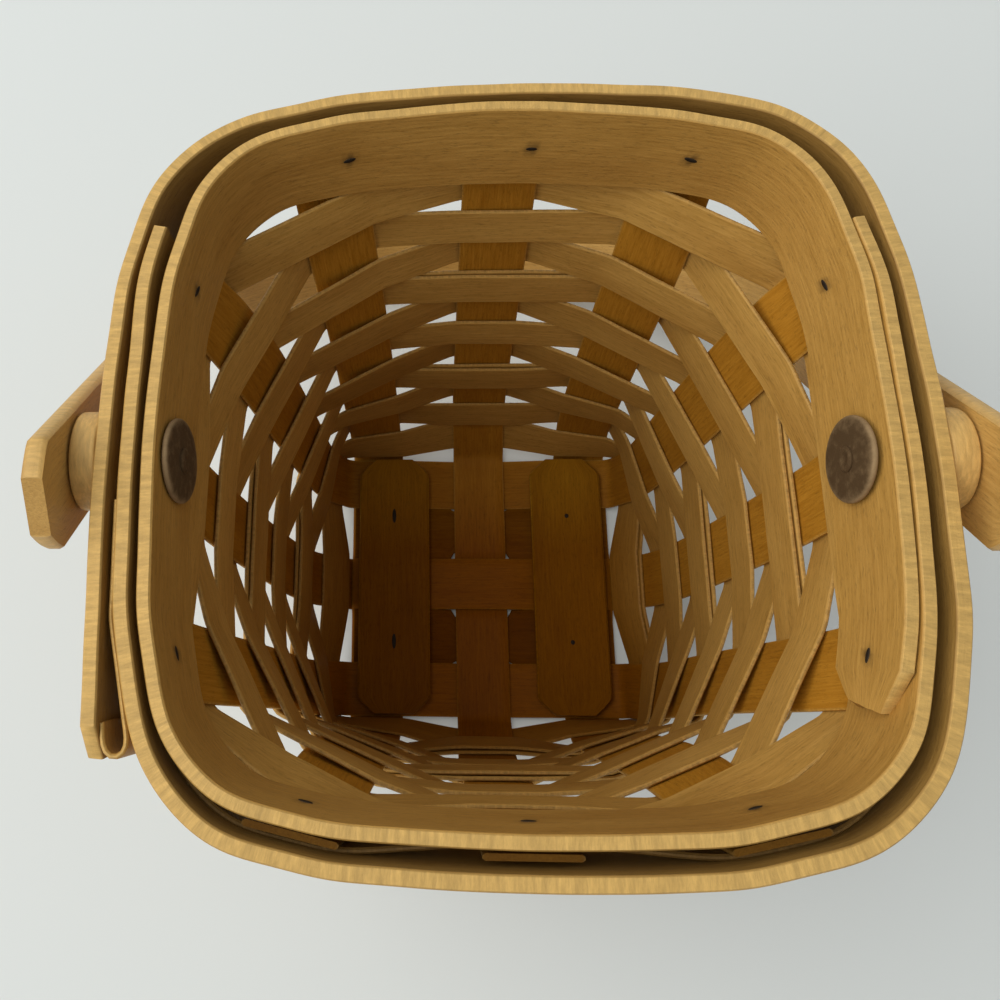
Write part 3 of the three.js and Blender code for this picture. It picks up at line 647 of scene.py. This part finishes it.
def outer_lap_offset(upright, side):
    """How far out the outer layer of the outer band's lap lies. Its free end stands off."""
    tight = BAND_OFFSET + BAND_LAP
    if upright == LEFT_FRONT:
        return tight + LOOSE_ROOM + math.tan(LOOSE_END_TURN) * (STAKE_WIDTH / 2 - side)
    return tight


def outer_band():
    """It starts with the loose end on the left wall, and ends under its own first layer."""
    last = LEFT_BACK + UPRIGHTS

    def offset(upright):
        return outer_lap_offset(upright, 0) if upright <= LEFT_BACK else BAND_OFFSET

    def lean(upright):
        return 0.0 if upright <= LEFT_BACK else -OUTER_LEAN[upright % UPRIGHTS]

    stations = stations_round(LEFT_MIDDLE, last, STAKE_WIDTH / 2, offset)
    leans = [amount for _, amount, _ in stations_round(LEFT_MIDDLE, last, STAKE_WIDTH / 2, lean)]
    lap_places = (
        (LEFT_FRONT, OUTER_LAP_END, OUTER_END_CLIP),
        (LEFT_FRONT, OUTER_LAP_END + OUTER_END_CLIP, 0),
        (LEFT_FRONT, STAKE_WIDTH / 2, 0),
        (LEFT_MIDDLE, RIVET_Y - SPACER_RADIUS - PIN_GAP, 0),
    )
    lap = [station(u, side, outer_lap_offset(u, side), inset) for u, side, inset in lap_places]
    stations = lap + stations[1:]
    leans = [0.0] * len(lap) + leans[1:]
    stations[-1] = station(last, OUTER_LAP_START, offset(last))
    return band_strip(stations, OUTER_BAND_THICK, 302, leans, OUTER_FOOT_LEAN)


def thin_strip():
    """It lies between the two layers and folds round at the end of the loose one."""
    fold_side = OUTER_LAP_END - THIN_STRIP_FOLD
    half_layers = OUTER_BAND_THICK / 2 + THIN_STRIP_THICK / 2
    near = BAND_OFFSET + half_layers + THIN_STRIP_NEAR_GAP
    far = outer_lap_offset(LEFT_FRONT, OUTER_LAP_END) - half_layers - THIN_STRIP_FAR_GAP
    held = -OUTER_LEAN[LEFT_FRONT]
    turn = THIN_STRIP_TURN
    places = (
        (LEFT_MIDDLE, THIN_STRIP_HEAD, near, -OUTER_LEAN[LEFT_MIDDLE]),
        (LEFT_FRONT, STAKE_WIDTH / 2, near, held),
        (LEFT_FRONT, fold_side + THIN_STRIP_BEND, near, held),
        (LEFT_FRONT, fold_side, near + turn * (far - near), (1 - turn) * held),
        (LEFT_FRONT, fold_side, near + (1 - turn) * (far - near), turn * held),
        (LEFT_FRONT, fold_side + THIN_STRIP_BEND, far, 0.0),
        (LEFT_FRONT, fold_side + THIN_STRIP_TAIL, far - THIN_STRIP_TAIL_LEAN, 0.0),
    )
    stations = [station(u, side, offset) for u, side, offset, _ in places]
    leans = [amount for _, _, _, amount in places]
    middle, half = (BASKET_HEIGHT + BAND_BOTTOM) / 2, THIN_STRIP_HEIGHT / 2
    return standing_strip(
        stations, middle - half, middle + half, THIN_STRIP_THICK, 303, THIN_STRIP_SOFTNESS,
        raggedness=THIN_STRIP_RAGGEDNESS, lean=(leans, OUTER_FOOT_LEAN),
    )


# Uprights, fillers and slats


def upright_strip(lengthwise, place, seed):
    """An upright: down one wall, across the floor and up the opposite wall."""
    floor_side = place * STAKE_PITCH
    ends_high = (place == 0) if lengthwise else (place != 0)
    end_level, cross_level = (HIGH_LEVEL, LOW_LEVEL) if ends_high else (LOW_LEVEL, HIGH_LEVEL)
    first = 1 + place if lengthwise else 4 - place
    last = 7 - place if lengthwise else 10 + place
    half = STAKE_WIDTH / 2
    across = np.array(STAKE_LEVELS) * half
    drop = STAKE_END_DROP if lengthwise else SIDE_STAKE_END_DROP
    heights = [WALL_FOOT + row * ROW_PITCH for row in range(ROWS)] + [BASKET_HEIGHT - drop]

    def wall_point(upright, z, side):
        x, y, _, _ = upright_place(upright, z, side)
        return np.array((x, y, z))

    def floor_point(run, level, side):
        along = floor_side + side
        return np.array((along, run, level) if lengthwise else (run, along, level))

    # The section at the foot leaves a straight run along the floor
    step = half + JOG_SLIT / 2
    jog = STAKE_THICK * JOG_SHARE
    far, near = (step + jog, step - jog) if lengthwise else (RAMP_FAR, RAMP_NEAR)
    change = ((far, end_level), (near, cross_level))
    bend_top = (FOOT_HALF - FOOT_BEND / 3, end_level + FOOT_BEND_RISE)
    bend = (bend_top, (FOOT_HALF - FOOT_BEND, end_level))
    start_sign = 1 if lengthwise else -1

    def column(side):
        points = [wall_point(first, z, start_sign * side) for z in reversed(heights)]
        points += [floor_point(run, level, side) for run, level in bend + change]
        points += [floor_point(-run, level, side) for run, level in reversed(bend + change)]
        points += [wall_point(last, z, -start_sign * side) for z in heights]
        return np.array(points)

    leg, share, run = divided(column(0), STEP)
    reach = round(STAKE_SOFTNESS / STEP / 2)
    columns = []
    for side in across:
        points = column(side)
        points = (1 - share[:, None]) * points[leg] + share[:, None] * points[leg + 1]
        columns.append(soften(points, reach))
    grid = np.stack(columns, axis=1)
    grid[:, :, 2] = np.maximum(grid[:, :, 2], LOW_LEVEL)
    return Strip(grid, run, across, STAKE_THICK, seed)


def flat_strip(
    path, half_width, thick, seed, side_way, softness=FLAT_SOFTNESS, levels=STRIP_LEVELS, edge=STRIP_EDGE
):
    """A strip along a path, with its width along side_way. half_width is for each run."""
    path = np.asarray(path, float)
    leg, share, run = divided(path, STEP)
    points = (1 - share[:, None]) * path[leg] + share[:, None] * path[leg + 1]
    points = soften(points, round(softness / STEP / 2))
    width = half_width(run, run[-1])
    inner = np.linspace(-1, 1, levels - 2) * FLAT_EDGE_LEVEL
    across = np.concatenate(([-1], inner, [1]))
    grid = points[:, None, :] + (width[:, None] * across)[..., None] * np.asarray(side_way, float)
    return Strip(grid, run, across * width.max(), thick, seed, edge)


def clipped(half, clip):
    """A half width for a strip with clipped corners."""

    def width(run, length):
        near_end = np.clip(np.minimum(run, length - run) / clip, 0, 1)
        return half - clip * (1 - near_end) ** CLIP_POWER

    return width


def filler_strip(towards, seed):
    """It is wider beside the centre strip than under it, where that strip comes down."""
    width = FILLER_OUTER - FILLER_INNER
    end = FOOT_HALF - FILLER_END_GAP
    half_run = ((RAMP_NEAR, LOW_LEVEL), (RAMP_FAR, HIGH_LEVEL), (end, HIGH_LEVEL))
    path = [(-x, 0, z) for x, z in reversed(half_run)] + [(x, 0, z) for x, z in half_run]
    strip = flat_strip(path, lambda run, _: np.full_like(run, width / 2), STAKE_THICK, seed, (0, 1, 0))
    share = 0.5 + towards * strip.grid[:, :, 1] / width
    beside = np.abs(strip.grid[:, :, 0]) > STAKE_WIDTH / 2 + FIT_GAP
    inner = FILLER_INNER - FILLER_WIDENING * beside
    outer = FILLER_OUTER + (FILLER_SLIT + TOUCH_GAP) * beside
    strip.grid[:, :, 1] = towards * (inner + share * (outer - inner))
    return strip


def slat_strip(towards, seed):
    z = SLAT_BOTTOM + SLAT_THICK / 2
    x = towards * SLAT_MIDDLE
    path = [(x, y, z) for y in (-SLAT_HALF_LENGTH, 0, SLAT_HALF_LENGTH)]
    width = clipped(SLAT_WIDTH / 2, SLAT_CLIP)
    return flat_strip(path, width, SLAT_THICK, seed, (-1, 0, 0), edge=SLAT_EDGE)


# Rivets, spacers and tacks


def band_lean(upright):
    """How far out the wall goes for each millimetre up, at the bands."""
    low = upright_place(upright, BAND_BOTTOM, 0)
    high = upright_place(upright, BASKET_HEIGHT, 0)
    return float((high - low)[:2] @ low[2:]) / BAND_HEIGHT


def rivet_faces(sign):
    """Distances of the faces on a rivet's line from the basket's middle plane."""
    upright = RIGHT_MIDDLE if sign > 0 else LEFT_MIDDLE
    wall = abs(upright_place(upright, RIVET_Z, 0)[0])
    inner = wall - BAND_FACE - (BAND_LAP if sign > 0 else 0)
    outer = wall + BAND_FACE + (0 if sign > 0 else BAND_LAP)
    thick = RIGHT_SPACER_THICK if sign > 0 else LEFT_SPACER_THICK
    return inner, outer, band_lean(upright), outer + PIN_GAP + thick


def turned(profile, sides=PIECE_SIDES):
    """Points and faces of a round piece about Z, from its outline of radius and height."""
    angles = np.linspace(0, 2 * math.pi, sides, endpoint=False)
    points, rings = [], []
    for radius, height in profile:
        if radius < TINY:
            rings.append([len(points)] * sides)
            points.append((0.0, 0.0, height))
        else:
            rings.append([len(points) + i for i in range(sides)])
            points += [(radius * math.cos(a), radius * math.sin(a), height) for a in angles]
    faces = []
    for low, high in zip(rings, rings[1:]):
        for i in range(sides):
            n = (i + 1) % sides
            face = [low[i], low[n], high[n], high[i]]
            faces.append([v for j, v in enumerate(face) if v != face[j - 1]])
    return np.array(points), faces


def aimed(points, place, way):
    turn = np.array(Vector((0, 0, 1)).rotation_difference(Vector(way)).to_matrix())
    return points @ turn.T + np.asarray(place)


def rounded_profile(inner, outer, low, high, bevel, crown=0.0):
    """A ring's outline with round outer edges and a slightly domed top."""
    flat, side_top = outer - bevel, high - crown - bevel
    bottom = [(flat + bevel * math.sin(t), low + bevel - bevel * math.cos(t)) for t in BEVEL_TURNS]
    top = [(flat + bevel * math.cos(t), side_top + bevel * math.sin(t)) for t in BEVEL_TURNS]
    domes = [(inner + (flat - inner) * (1 - u), high - crown * (1 - u) ** 2) for u in DOME_SHARES]
    return [(inner, low)] + bottom + top + domes + [(inner, low)]


def round_piece(name, sign, profile, span, leans, seed):
    """A turned piece on a rivet's line. span and leans are those of its near and far ends."""
    points, faces = turned(profile)
    placed = aimed(points, (0, RIVET_Y, RIVET_Z), (sign, 0, 0))
    share = np.clip((np.abs(placed[:, 0]) - span[0]) / (span[1] - span[0]), 0, 1)
    lean = (1 - share) * leans[0] + share * leans[1]
    placed[:, 0] += sign * lean * (placed[:, 2] - RIVET_Z)
    radius = np.hypot(points[:, 0], points[:, 1])
    place = np.column_stack((points[:, 2] + GRAIN_ROUND * seed, points[:, 0], points[:, 1]))
    return add_mesh(name, placed, faces, place, radius / radius.max())


def rivet_outline(sign):
    """A rivet from the low ring of its peened end to its domed head."""
    base = rivet_faces(sign)[0] - PIN_GAP - WASHER_THICK + RIVET_BUTTON_SINK
    crown = base - RIVET_BUTTON_THICK
    head = rivet_faces(sign)[3] + 2 * PIN_GAP + HANDLE_THICK
    dome = RIVET_HEAD_THICK - RIVET_HEAD_EDGE
    ring = [(RIVET_BUTTON_RADIUS * share, drop) for share, drop in RIVET_BUTTON_RING]
    button = [(radius, crown + RIVET_BUTTON_DIMPLE * drop) for radius, drop in ring]
    edge = head + RIVET_HEAD_EDGE
    head_dome = [(RIVET_HEAD_RADIUS * math.cos(t), edge + dome * math.sin(t)) for t in HEAD_TURNS]
    shank = [(RIVET_RADIUS, base + RIVET_SHANK_SINK), (RIVET_RADIUS, head)]
    return button + shank + [(RIVET_HEAD_RADIUS - RIVET_HEAD_BEVEL, head)] + head_dome


def rim_tack_lines():
    """Each rim tack's middle point, its way out and how far the bands reach from it."""
    up = 1 - RIM_TACK_DROP / BAND_HEIGHT
    inner_share = INNER_FOOT_LEAN + (1 - INNER_FOOT_LEAN) * up
    outer_share = OUTER_FOOT_LEAN + (1 - OUTER_FOOT_LEAN) * up
    z = BASKET_HEIGHT - RIM_TACK_DROP
    sides = {0: BACK_TACK_SIDE, 1: BACK_TACK_SIDE, RIGHT_MIDDLE - 1: SIDE_TACK_FRONT}
    sides[LEFT_BACK] = -SIDE_TACK_FRONT
    lines = []
    for upright in range(UPRIGHTS):
        if upright in (RIGHT_MIDDLE, LEFT_MIDDLE):
            continue
        x, y, nx, ny = upright_place(upright, z, sides.get(upright, 0))
        way = unit(np.array((nx, ny, -band_lean(upright))))
        outer = BAND_OFFSET - OUTER_LEAN[upright] * outer_share
        if upright >= LEFT_FRONT:
            outer = outer_lap_offset(upright, 0)
        if upright == LEFT_FRONT:
            outer += math.tan(LOOSE_END_TURN)
        inner = BAND_OFFSET - INNER_LEAN[upright] * inner_share
        if upright // 3 == RIGHT_WALL:
            lap_lean = INNER_LAP_LEAN[upright - RIGHT_MIDDLE + 1]
            inner = BAND_OFFSET - lap_lean * inner_share + INNER_BAND_LAP
        reaches = outer + OUTER_BAND_THICK / 2, inner + INNER_BAND_THICK / 2
        lines.append((np.array((x, y, z)), way, *reaches))
    return lines


# Materials

MATERIALS = {}  # by slot


class Shader:
    """A material being built: adds nodes and links them by name."""

    def __init__(self, name):
        self.material = bpy.data.materials.new(name)
        self.material.use_nodes = True
        self.tree = self.material.node_tree
        self.surface = self.tree.nodes["Principled BSDF"]

    def node(self, kind, settings=None, **sockets):
        made = self.tree.nodes.new(kind)
        for key, value in (settings or {}).items():
            setattr(made, key, value)
        for key, value in sockets.items():
            self.feed(made.inputs[key.replace("_", " ")], value)
        return made

    def feed(self, socket, value):
        if isinstance(value, bpy.types.NodeSocket):
            self.tree.links.new(value, socket)
        else:
            socket.default_value = value

    def scaled(self, vector, scale):
        made = self.tree.nodes.new("ShaderNodeMapping")
        made.inputs["Scale"].default_value = scale
        self.feed(made.inputs["Vector"], vector)
        return made.outputs["Vector"]

    def noise(self, vector, scale, detail, roughness, distortion=0.0):
        made = self.node("ShaderNodeTexNoise", Scale=1.0, Detail=detail, Roughness=roughness)
        made.inputs["Distortion"].default_value = distortion
        self.feed(made.inputs["Vector"], self.scaled(vector, scale))
        return made.outputs["Fac"]

    def ramp(self, value, stops):
        made = self.node("ShaderNodeValToRGB", Fac=value)
        elements = made.color_ramp.elements
        while len(elements) < len(stops):
            elements.new(0.5)
        for element, (position, colour) in zip(elements, stops):
            element.position = position
            element.color = colour if len(colour) == 4 else (*colour, 1)
        return made.outputs["Color"]

    def mix(self, factor, a, b, blend="MIX"):
        made = self.node("ShaderNodeMix", {"data_type": "RGBA", "blend_type": blend})
        self.feed(made.inputs[0], factor)
        self.feed(made.inputs[6], a)
        self.feed(made.inputs[7], b)
        return made.outputs[2]

    def maths(self, operation, a, b):
        made = self.node("ShaderNodeMath", {"operation": operation})
        self.feed(made.inputs[0], a)
        self.feed(made.inputs[1], b)
        return made.outputs[0]

    def ranged(self, value, low, high):
        made = self.node("ShaderNodeMapRange", Value=value)
        made.inputs["To Min"].default_value = low
        made.inputs["To Max"].default_value = high
        return made.outputs["Result"]

    def attribute(self, name, output="Vector"):
        return self.node("ShaderNodeAttribute", {"attribute_name": name}).outputs[output]


def grey(value):
    return (value, value, value, 1)


def wood(name, light, dark, edge_colour, gloss=0.5, cut=0.3, sheen=0.3):
    """Splint wood: streaks along the strip, short dark flecks, and rough sawn edges."""
    s = Shader(name)
    grain = s.attribute("grain")
    edge = s.attribute("edge", "Fac")
    stain_and_shade = s.attribute("stain_and_shade", "Fac")
    painted_floor_shade = s.attribute("painted_floor_shade", "Fac")
    streaks = s.noise(grain, (110, 2100, 2100), 8, 0.7, 0.3)
    pores = s.noise(grain, (620, 3300, 3300), 5, 0.75)
    tone = s.noise(grain, (13, 70, 70), 3, 0.5)
    strip_tone = s.noise(grain, (1.7, 14, 14), 1, 0.5)
    body = s.mix(s.ramp(streaks, ((0.3, grey(0)), (0.7, grey(1)))), (*dark, 1), (*light, 1))
    speckle = s.ramp(pores, ((0.34, grey(1 - WOOD_FLECK)), (0.47, grey(1)), (0.74, grey(1.0))))
    body = s.mix(1.0, body, speckle, "MULTIPLY")
    patch = s.ramp(tone, ((0.3, (0.8, 0.74, 0.64)), (0.52, (1, 1, 1)), (0.75, (1.0, 1.0, 0.96))))
    body = s.mix(1.0, body, patch, "MULTIPLY")
    shade = s.ramp(strip_tone, ((0.36, (0.84, 0.8, 0.72)), (0.64, (1, 1, 1))))
    body = s.mix(1.0, body, shade, "MULTIPLY")
    fibres = s.noise(grain, (1500, 900, 260), 5, 0.7)
    low, high = (tuple(min(1.0, share * c) for c in edge_colour) for share in (1 - cut, 1 + cut))
    sawn = s.ramp(fibres, ((0.3, low), (0.5, edge_colour), (0.66, high)))
    colour = s.mix(edge, body, sawn)
    # painted shade near the floor
    floor_shaded = s.mix(1.0, colour, FLOOR_SHADE_COLOUR, "MULTIPLY")
    colour = s.mix(s.maths("MULTIPLY", painted_floor_shade, FLOOR_SHADE_STRENGTH), colour, floor_shaded)
    # stains round the tacks, and painted shade in the slot between the bands
    colour = s.mix(s.maths("MULTIPLY", stain_and_shade, STAIN_AND_SHADE_STRENGTH), colour, STAIN_AND_SHADE_COLOUR)
    rough = s.ranged(streaks, gloss - 0.08, gloss + 0.2)
    height = s.maths("ADD", s.maths("MULTIPLY", streaks, 0.7), s.maths("MULTIPLY", pores, 0.4))
    height = s.maths("ADD", height, s.maths("MULTIPLY", s.maths("MULTIPLY", fibres, edge), 1.1))
    bump = s.node("ShaderNodeBump", Strength=WOOD_RELIEF, Distance=0.0002, Height=height)
    s.feed(s.surface.inputs["Base Color"], colour)
    s.feed(s.surface.inputs["Roughness"], rough)
    s.feed(s.surface.inputs["Normal"], bump.outputs["Normal"])
    s.surface.inputs["Specular IOR Level"].default_value = sheen
    MATERIALS[name] = s.material


def aged_metal(name, dark, worn, rough):
    """Dark, tarnished metal that is mottled, and worn pale at its rim."""
    s = Shader(name)
    place = s.attribute("grain")
    edge = s.attribute("edge", "Fac")
    blotches = s.noise(place, (520, 520, 520), 6, 0.7)
    fine = s.noise(place, (3200, 3200, 3200), 4, 0.65)
    wear = s.maths("ADD", s.maths("POWER", edge, 14.0), s.ranged(blotches, -0.75, 0.75))
    colour = s.mix(s.ramp(wear, ((0.0, grey(0)), (1.0, grey(1)))), (*dark, 1), (*worn, 1))
    s.feed(s.surface.inputs["Base Color"], colour)
    s.feed(s.surface.inputs["Roughness"], s.ranged(fine, rough - 0.1, rough + 0.25))
    height = s.maths("ADD", blotches, s.maths("MULTIPLY", fine, 0.5))
    bump = s.node("ShaderNodeBump", Strength=0.5, Distance=0.00012, Height=height)
    s.feed(s.surface.inputs["Normal"], bump.outputs["Normal"])
    s.surface.inputs["Metallic"].default_value = 0.15
    s.surface.inputs["Specular IOR Level"].default_value = 0.12
    MATERIALS[name] = s.material


wood("stake_wood", (0.53, 0.25, 0.028), (0.355, 0.15, 0.011), (0.42, 0.225, 0.045), sheen=0.06)
wood("weaver_wood", (0.62, 0.362, 0.094), (0.43, 0.235, 0.047), (0.43, 0.25, 0.068), sheen=0.2)
# The floor pieces and slats are darker than the uprights: partly their own colour, partly painted shade
# of the basket's deep floor
wood("floor_wood", (0.36, 0.165, 0.012), (0.22, 0.09, 0.005), (0.28, 0.13, 0.01), sheen=0.03)
wood("slat_wood", (0.42, 0.20, 0.012), (0.28, 0.125, 0.006), (0.42, 0.22, 0.02), sheen=0.03)
wood("band_wood", (0.615, 0.352, 0.086), (0.42, 0.225, 0.044), (0.56, 0.345, 0.10), cut=0.22)
wood("handle_wood", (0.65, 0.395, 0.115), (0.46, 0.255, 0.062), (0.60, 0.37, 0.115), gloss=0.42, cut=0.2)
aged_metal("tack_metal", (0.02, 0.014, 0.009), (0.05, 0.035, 0.022), 0.6)
aged_metal("rivet_metal", (0.085, 0.050, 0.022), (0.30, 0.20, 0.10), 0.7)


# The basket

tack_lines = rim_tack_lines()
inner_marks = [middle - way * inner for middle, way, _, inner in tack_lines]
outer_marks = [middle + way * outer for middle, way, outer, _ in tack_lines]
floor_spots = [
    (x, y)
    for x in (-SLAT_MIDDLE, SLAT_MIDDLE)
    for y in (FILLER_OUTER - BACK_TACK_INSET, FRONT_TACK_INSET - FILLER_OUTER)
]


def add_strip(node, strip, slot, marks=(), body="basket", slot_shade=0.0, slot_face=0):
    """Painted shade darkens the wood in the slot between the bands. slot_face is the side of a band that
    faces the slot: 1 for its inner side, -1 for its outer.
    """
    points, faces, place, edge = strip.shell()
    stain_and_shade = stain_round(points, marks)
    # painted shade on the band's face towards the slot
    if slot_face:
        faces_slot = (np.sign(place[:, 2]) == slot_face) & (edge < 0.5)
        stain_and_shade = np.maximum(stain_and_shade, SLOT_FACE_SHADE * faces_slot)
    # painted shade high up in the slot
    in_slot = np.clip((points[:, 2] - BAND_BOTTOM - SLOT_SHADE_START) / SLOT_SHADE_RISE, 0, 1)
    stain_and_shade = np.maximum(stain_and_shade, slot_shade * in_slot)
    thing = add_mesh(f"{node}_strip", points, faces, place, edge, stain_and_shade)
    dress(thing, node, slot, body)


upright_sets = (("y", 12, ("left", "centre", "right")), ("x", 22, ("front", "middle", "back")))
for axis, seed, sides in upright_sets:
    for place, side in enumerate(sides, -1):
        strip = upright_strip(axis == "y", place, seed + place)
        add_strip(f"stake_{axis}_{side}", strip, "stake_wood", slot_shade=SLOT_SHADE)
add_strip("filler_back", filler_strip(1, 31), "floor_wood")
add_strip("filler_front", filler_strip(-1, 32), "floor_wood")
add_strip("slat_left", slat_strip(-1, 41), "slat_wood")
add_strip("slat_right", slat_strip(1, 42), "slat_wood")
for row in range(ROWS):
    strip = weaver_strip(row)
    add_strip(f"weaver_{row + 1:02d}", strip, "weaver_wood", slot_shade=SLOT_SHADE)
add_strip("inner_rim_band", inner_band(), "band_wood", inner_marks, slot_face=-1)
add_strip("outer_rim_band", outer_band(), "band_wood", outer_marks, slot_face=1)
add_strip("rim_thin_strip", thin_strip(), "band_wood")

# Rivets, washers and spacers
for side, sign in (("left", -1), ("right", 1)):
    inner, outer, lean, post = rivet_faces(sign)
    near, far = inner - PIN_GAP - WASHER_THICK, inner - PIN_GAP
    outline = rounded_profile(RIVET_RADIUS, WASHER_RADIUS, near, far, WASHER_BEVEL, WASHER_CROWN)
    # The washer's domed face looks into the basket
    outline = [(r, near + far - h) for r, h in reversed(outline)]
    washer = round_piece(f"washer_{side}_disc", sign, outline, (near, far), (lean, lean), 3)
    dress(washer, f"washer_{side}", "rivet_metal")
    near = outer + PIN_GAP
    outline = rounded_profile(RIVET_RADIUS + PIN_GAP, SPACER_RADIUS, near, post, SPACER_BEVEL)
    spacer = round_piece(f"spacer_{side}_block", sign, outline, (near, post), (lean, 0), 5)
    dress(spacer, f"spacer_{side}", "handle_wood")
    outline = rivet_outline(sign)
    rivet = round_piece(f"rivet_{side}_pin", sign, outline, (inner, post), (0, 0), 7)
    dress(rivet, f"rivet_{side}", "rivet_metal")


# Tacks


def tack_outline(length, head_radius, head_thick, tip_radius, tip_thick):
    turns = BEVEL_TURNS
    head = [(head_radius * math.sin(t), head_thick * (1 - math.cos(t)) * TACK_CROWN) for t in turns]
    tip = [(tip_radius * math.cos(t), length - tip_thick * (1 - math.sin(t))) for t in turns]
    neck = [(head_radius, head_thick), (TACK_RADIUS, head_thick)]
    return head + neck + [(TACK_RADIUS, length - tip_thick)] + tip


def add_tack(node, start, way, length, head, tip, thin_axis, flatness):
    """A flat nail. Its cross-section is thin along one axis of its own."""
    points, faces = turned(tack_outline(length, *head, *tip), TACK_SIDES)
    radius = np.hypot(points[:, 0], points[:, 1])
    points[:, thin_axis] *= flatness
    placed = aimed(points, start, way)
    thing = add_mesh(f"{node}_nail", placed, faces, points, radius / radius.max())
    dress(thing, node, "tack_metal")


for number, (middle, way, outer, inner) in enumerate(tack_lines, 1):
    node = f"rim_tack_{number:02d}"
    start = -inner - TACK_STAND
    length = outer + TACK_STAND - start
    thin_axis = 1 if abs(way[1]) > abs(way[0]) else 0
    start = middle + way * start
    add_tack(node, start, way, length, RIM_HEAD, RIM_TIP, thin_axis, TACK_FLATNESS)
for number, (x, y) in enumerate(floor_spots, 1):
    length = SLAT_BOTTOM + SLAT_THICK + TACK_STAND
    tip = LEFT_FLOOR_TIP if x < 0 else RIGHT_FLOOR_TIP
    flatness = LEFT_FLOOR_FLATNESS if x < 0 else RIGHT_FLOOR_FLATNESS
    add_tack(f"floor_tack_{number}", (x, y, 0), (0, 0, 1), length, FLOOR_HEAD, tip, 0, flatness)


# The handle


def handle_strip():
    """One bent strip: a free end past each rivet, two straight legs and a round arch."""
    right, left = rivet_faces(1)[3], rivet_faces(-1)[3]
    shift, half = (right - left) / 2, (right + left) / 2 + PIN_GAP
    reach_down = RIVET_Z - TABLE_GAP - HANDLE_WIDTH / 2 * math.cos(HANDLE_ANGLE)
    radius = half + HANDLE_THICK / 2
    arch = reach_down / math.sin(HANDLE_ANGLE) - half - HANDLE_THICK
    turns = np.linspace(0, math.pi, ARCH_TURNS)
    plan = [(-radius, -HANDLE_TAB), (-radius, 0)]
    plan += [(-radius * math.cos(t), arch + radius * math.sin(t)) for t in turns]
    plan += [(radius, 0), (radius, -HANDLE_TAB)]
    run_way = np.array((0, math.cos(HANDLE_ANGLE), -math.sin(HANDLE_ANGLE)))
    side_way = np.array((0, math.sin(HANDLE_ANGLE), math.cos(HANDLE_ANGLE)))
    start = np.array((shift, RIVET_Y, RIVET_Z))
    path = [start + np.array((x, 0, 0)) + run * run_way for x, run in plan]
    width = clipped(HANDLE_WIDTH / 2, HANDLE_CLIP)
    return flat_strip(
        path, width, HANDLE_THICK, 501, side_way, HANDLE_SOFTNESS, HANDLE_LEVELS, HANDLE_EDGE
    )


add_strip("handle_hoop", handle_strip(), "handle_wood", body="handle")


# Floor, light and camera


def pale_floor():
    s = Shader("pale_floor")
    s.surface.inputs["Base Color"].default_value = FLOOR_COLOUR
    s.surface.inputs["Roughness"].default_value = 0.9
    half = FLOOR_SIZE / 2
    mesh = bpy.data.meshes.new("floor")
    corners = [(-half, -half), (half, -half), (half, half), (-half, half)]
    mesh.from_pydata([(x, y, -FLOOR_DROP) for x, y in corners], [], [(0, 1, 2, 3)])
    mesh.materials.append(s.material)
    floor = bpy.data.objects.new("floor", mesh)
    bpy.context.scene.collection.objects.link(floor)


def lamp(name, place, size, power, colour):
    """A round lamp that looks at the basket."""
    light = bpy.data.lights.new(name, "AREA")
    light.shape = "DISK"
    light.size = size
    light.energy = power
    light.color = colour
    thing = bpy.data.objects.new(name, light)
    thing.location = place
    way = Vector(LAMP_TARGET) - Vector(place)
    thing.rotation_euler = way.to_track_quat("-Z", "Y").to_euler()
    bpy.context.scene.collection.objects.link(thing)


def studio_world():
    """Soft even light, which looks as pale as the floor where it is seen."""
    world = bpy.data.worlds.new("studio")
    world.use_nodes = True
    tree = world.node_tree
    light = tree.nodes["Background"]
    light.inputs["Color"].default_value = WORLD_COLOUR
    light.inputs["Strength"].default_value = WORLD_LIGHT
    seen = tree.nodes.new("ShaderNodeBackground")
    seen.inputs["Color"].default_value = WORLD_COLOUR
    seen.inputs["Strength"].default_value = WORLD_SEEN
    rays = tree.nodes.new("ShaderNodeLightPath")
    total = rays.outputs["Is Camera Ray"]
    for name in ("Is Glossy Ray", "Is Transmission Ray"):
        added = tree.nodes.new("ShaderNodeMath")
        added.operation = "MAXIMUM"
        tree.links.new(total, added.inputs[0])
        tree.links.new(rays.outputs[name], added.inputs[1])
        total = added.outputs[0]
    mixed = tree.nodes.new("ShaderNodeMixShader")
    tree.links.new(total, mixed.inputs["Fac"])
    tree.links.new(light.outputs["Background"], mixed.inputs[1])
    tree.links.new(seen.outputs["Background"], mixed.inputs[2])
    tree.links.new(mixed.outputs["Shader"], tree.nodes["World Output"].inputs["Surface"])
    bpy.context.scene.world = world


pale_floor()
studio_world()
lamp("window", (-1.22, -0.10, 1.42), 2.6, 37.0, (1.0, 0.99, 0.97))
lamp("back_fill", (-0.5, 1.1, 1.0), 0.9, 1.8, (0.97, 0.985, 1.0))

camera_data = bpy.data.cameras.new("camera")
camera_data.lens = LENS
camera_data.sensor_width = SENSOR
camera_data.sensor_fit = "HORIZONTAL"
camera_data.shift_x, camera_data.shift_y = CAMERA_SHIFT
camera_data.clip_start = CLIP_START
camera = bpy.data.objects.new("camera", camera_data)
turn = Matrix.Rotation(CAMERA_TURNS[2], 4, "Z")
turn = turn @ Matrix.Rotation(CAMERA_TURNS[1], 4, "Y") @ Matrix.Rotation(CAMERA_TURNS[0], 4, "X")
camera.matrix_world = Matrix.Translation(CAMERA_PLACE) @ turn
bpy.context.scene.collection.objects.link(camera)
bpy.context.scene.camera = camera

bpy.context.scene.view_settings.view_transform = "Standard"
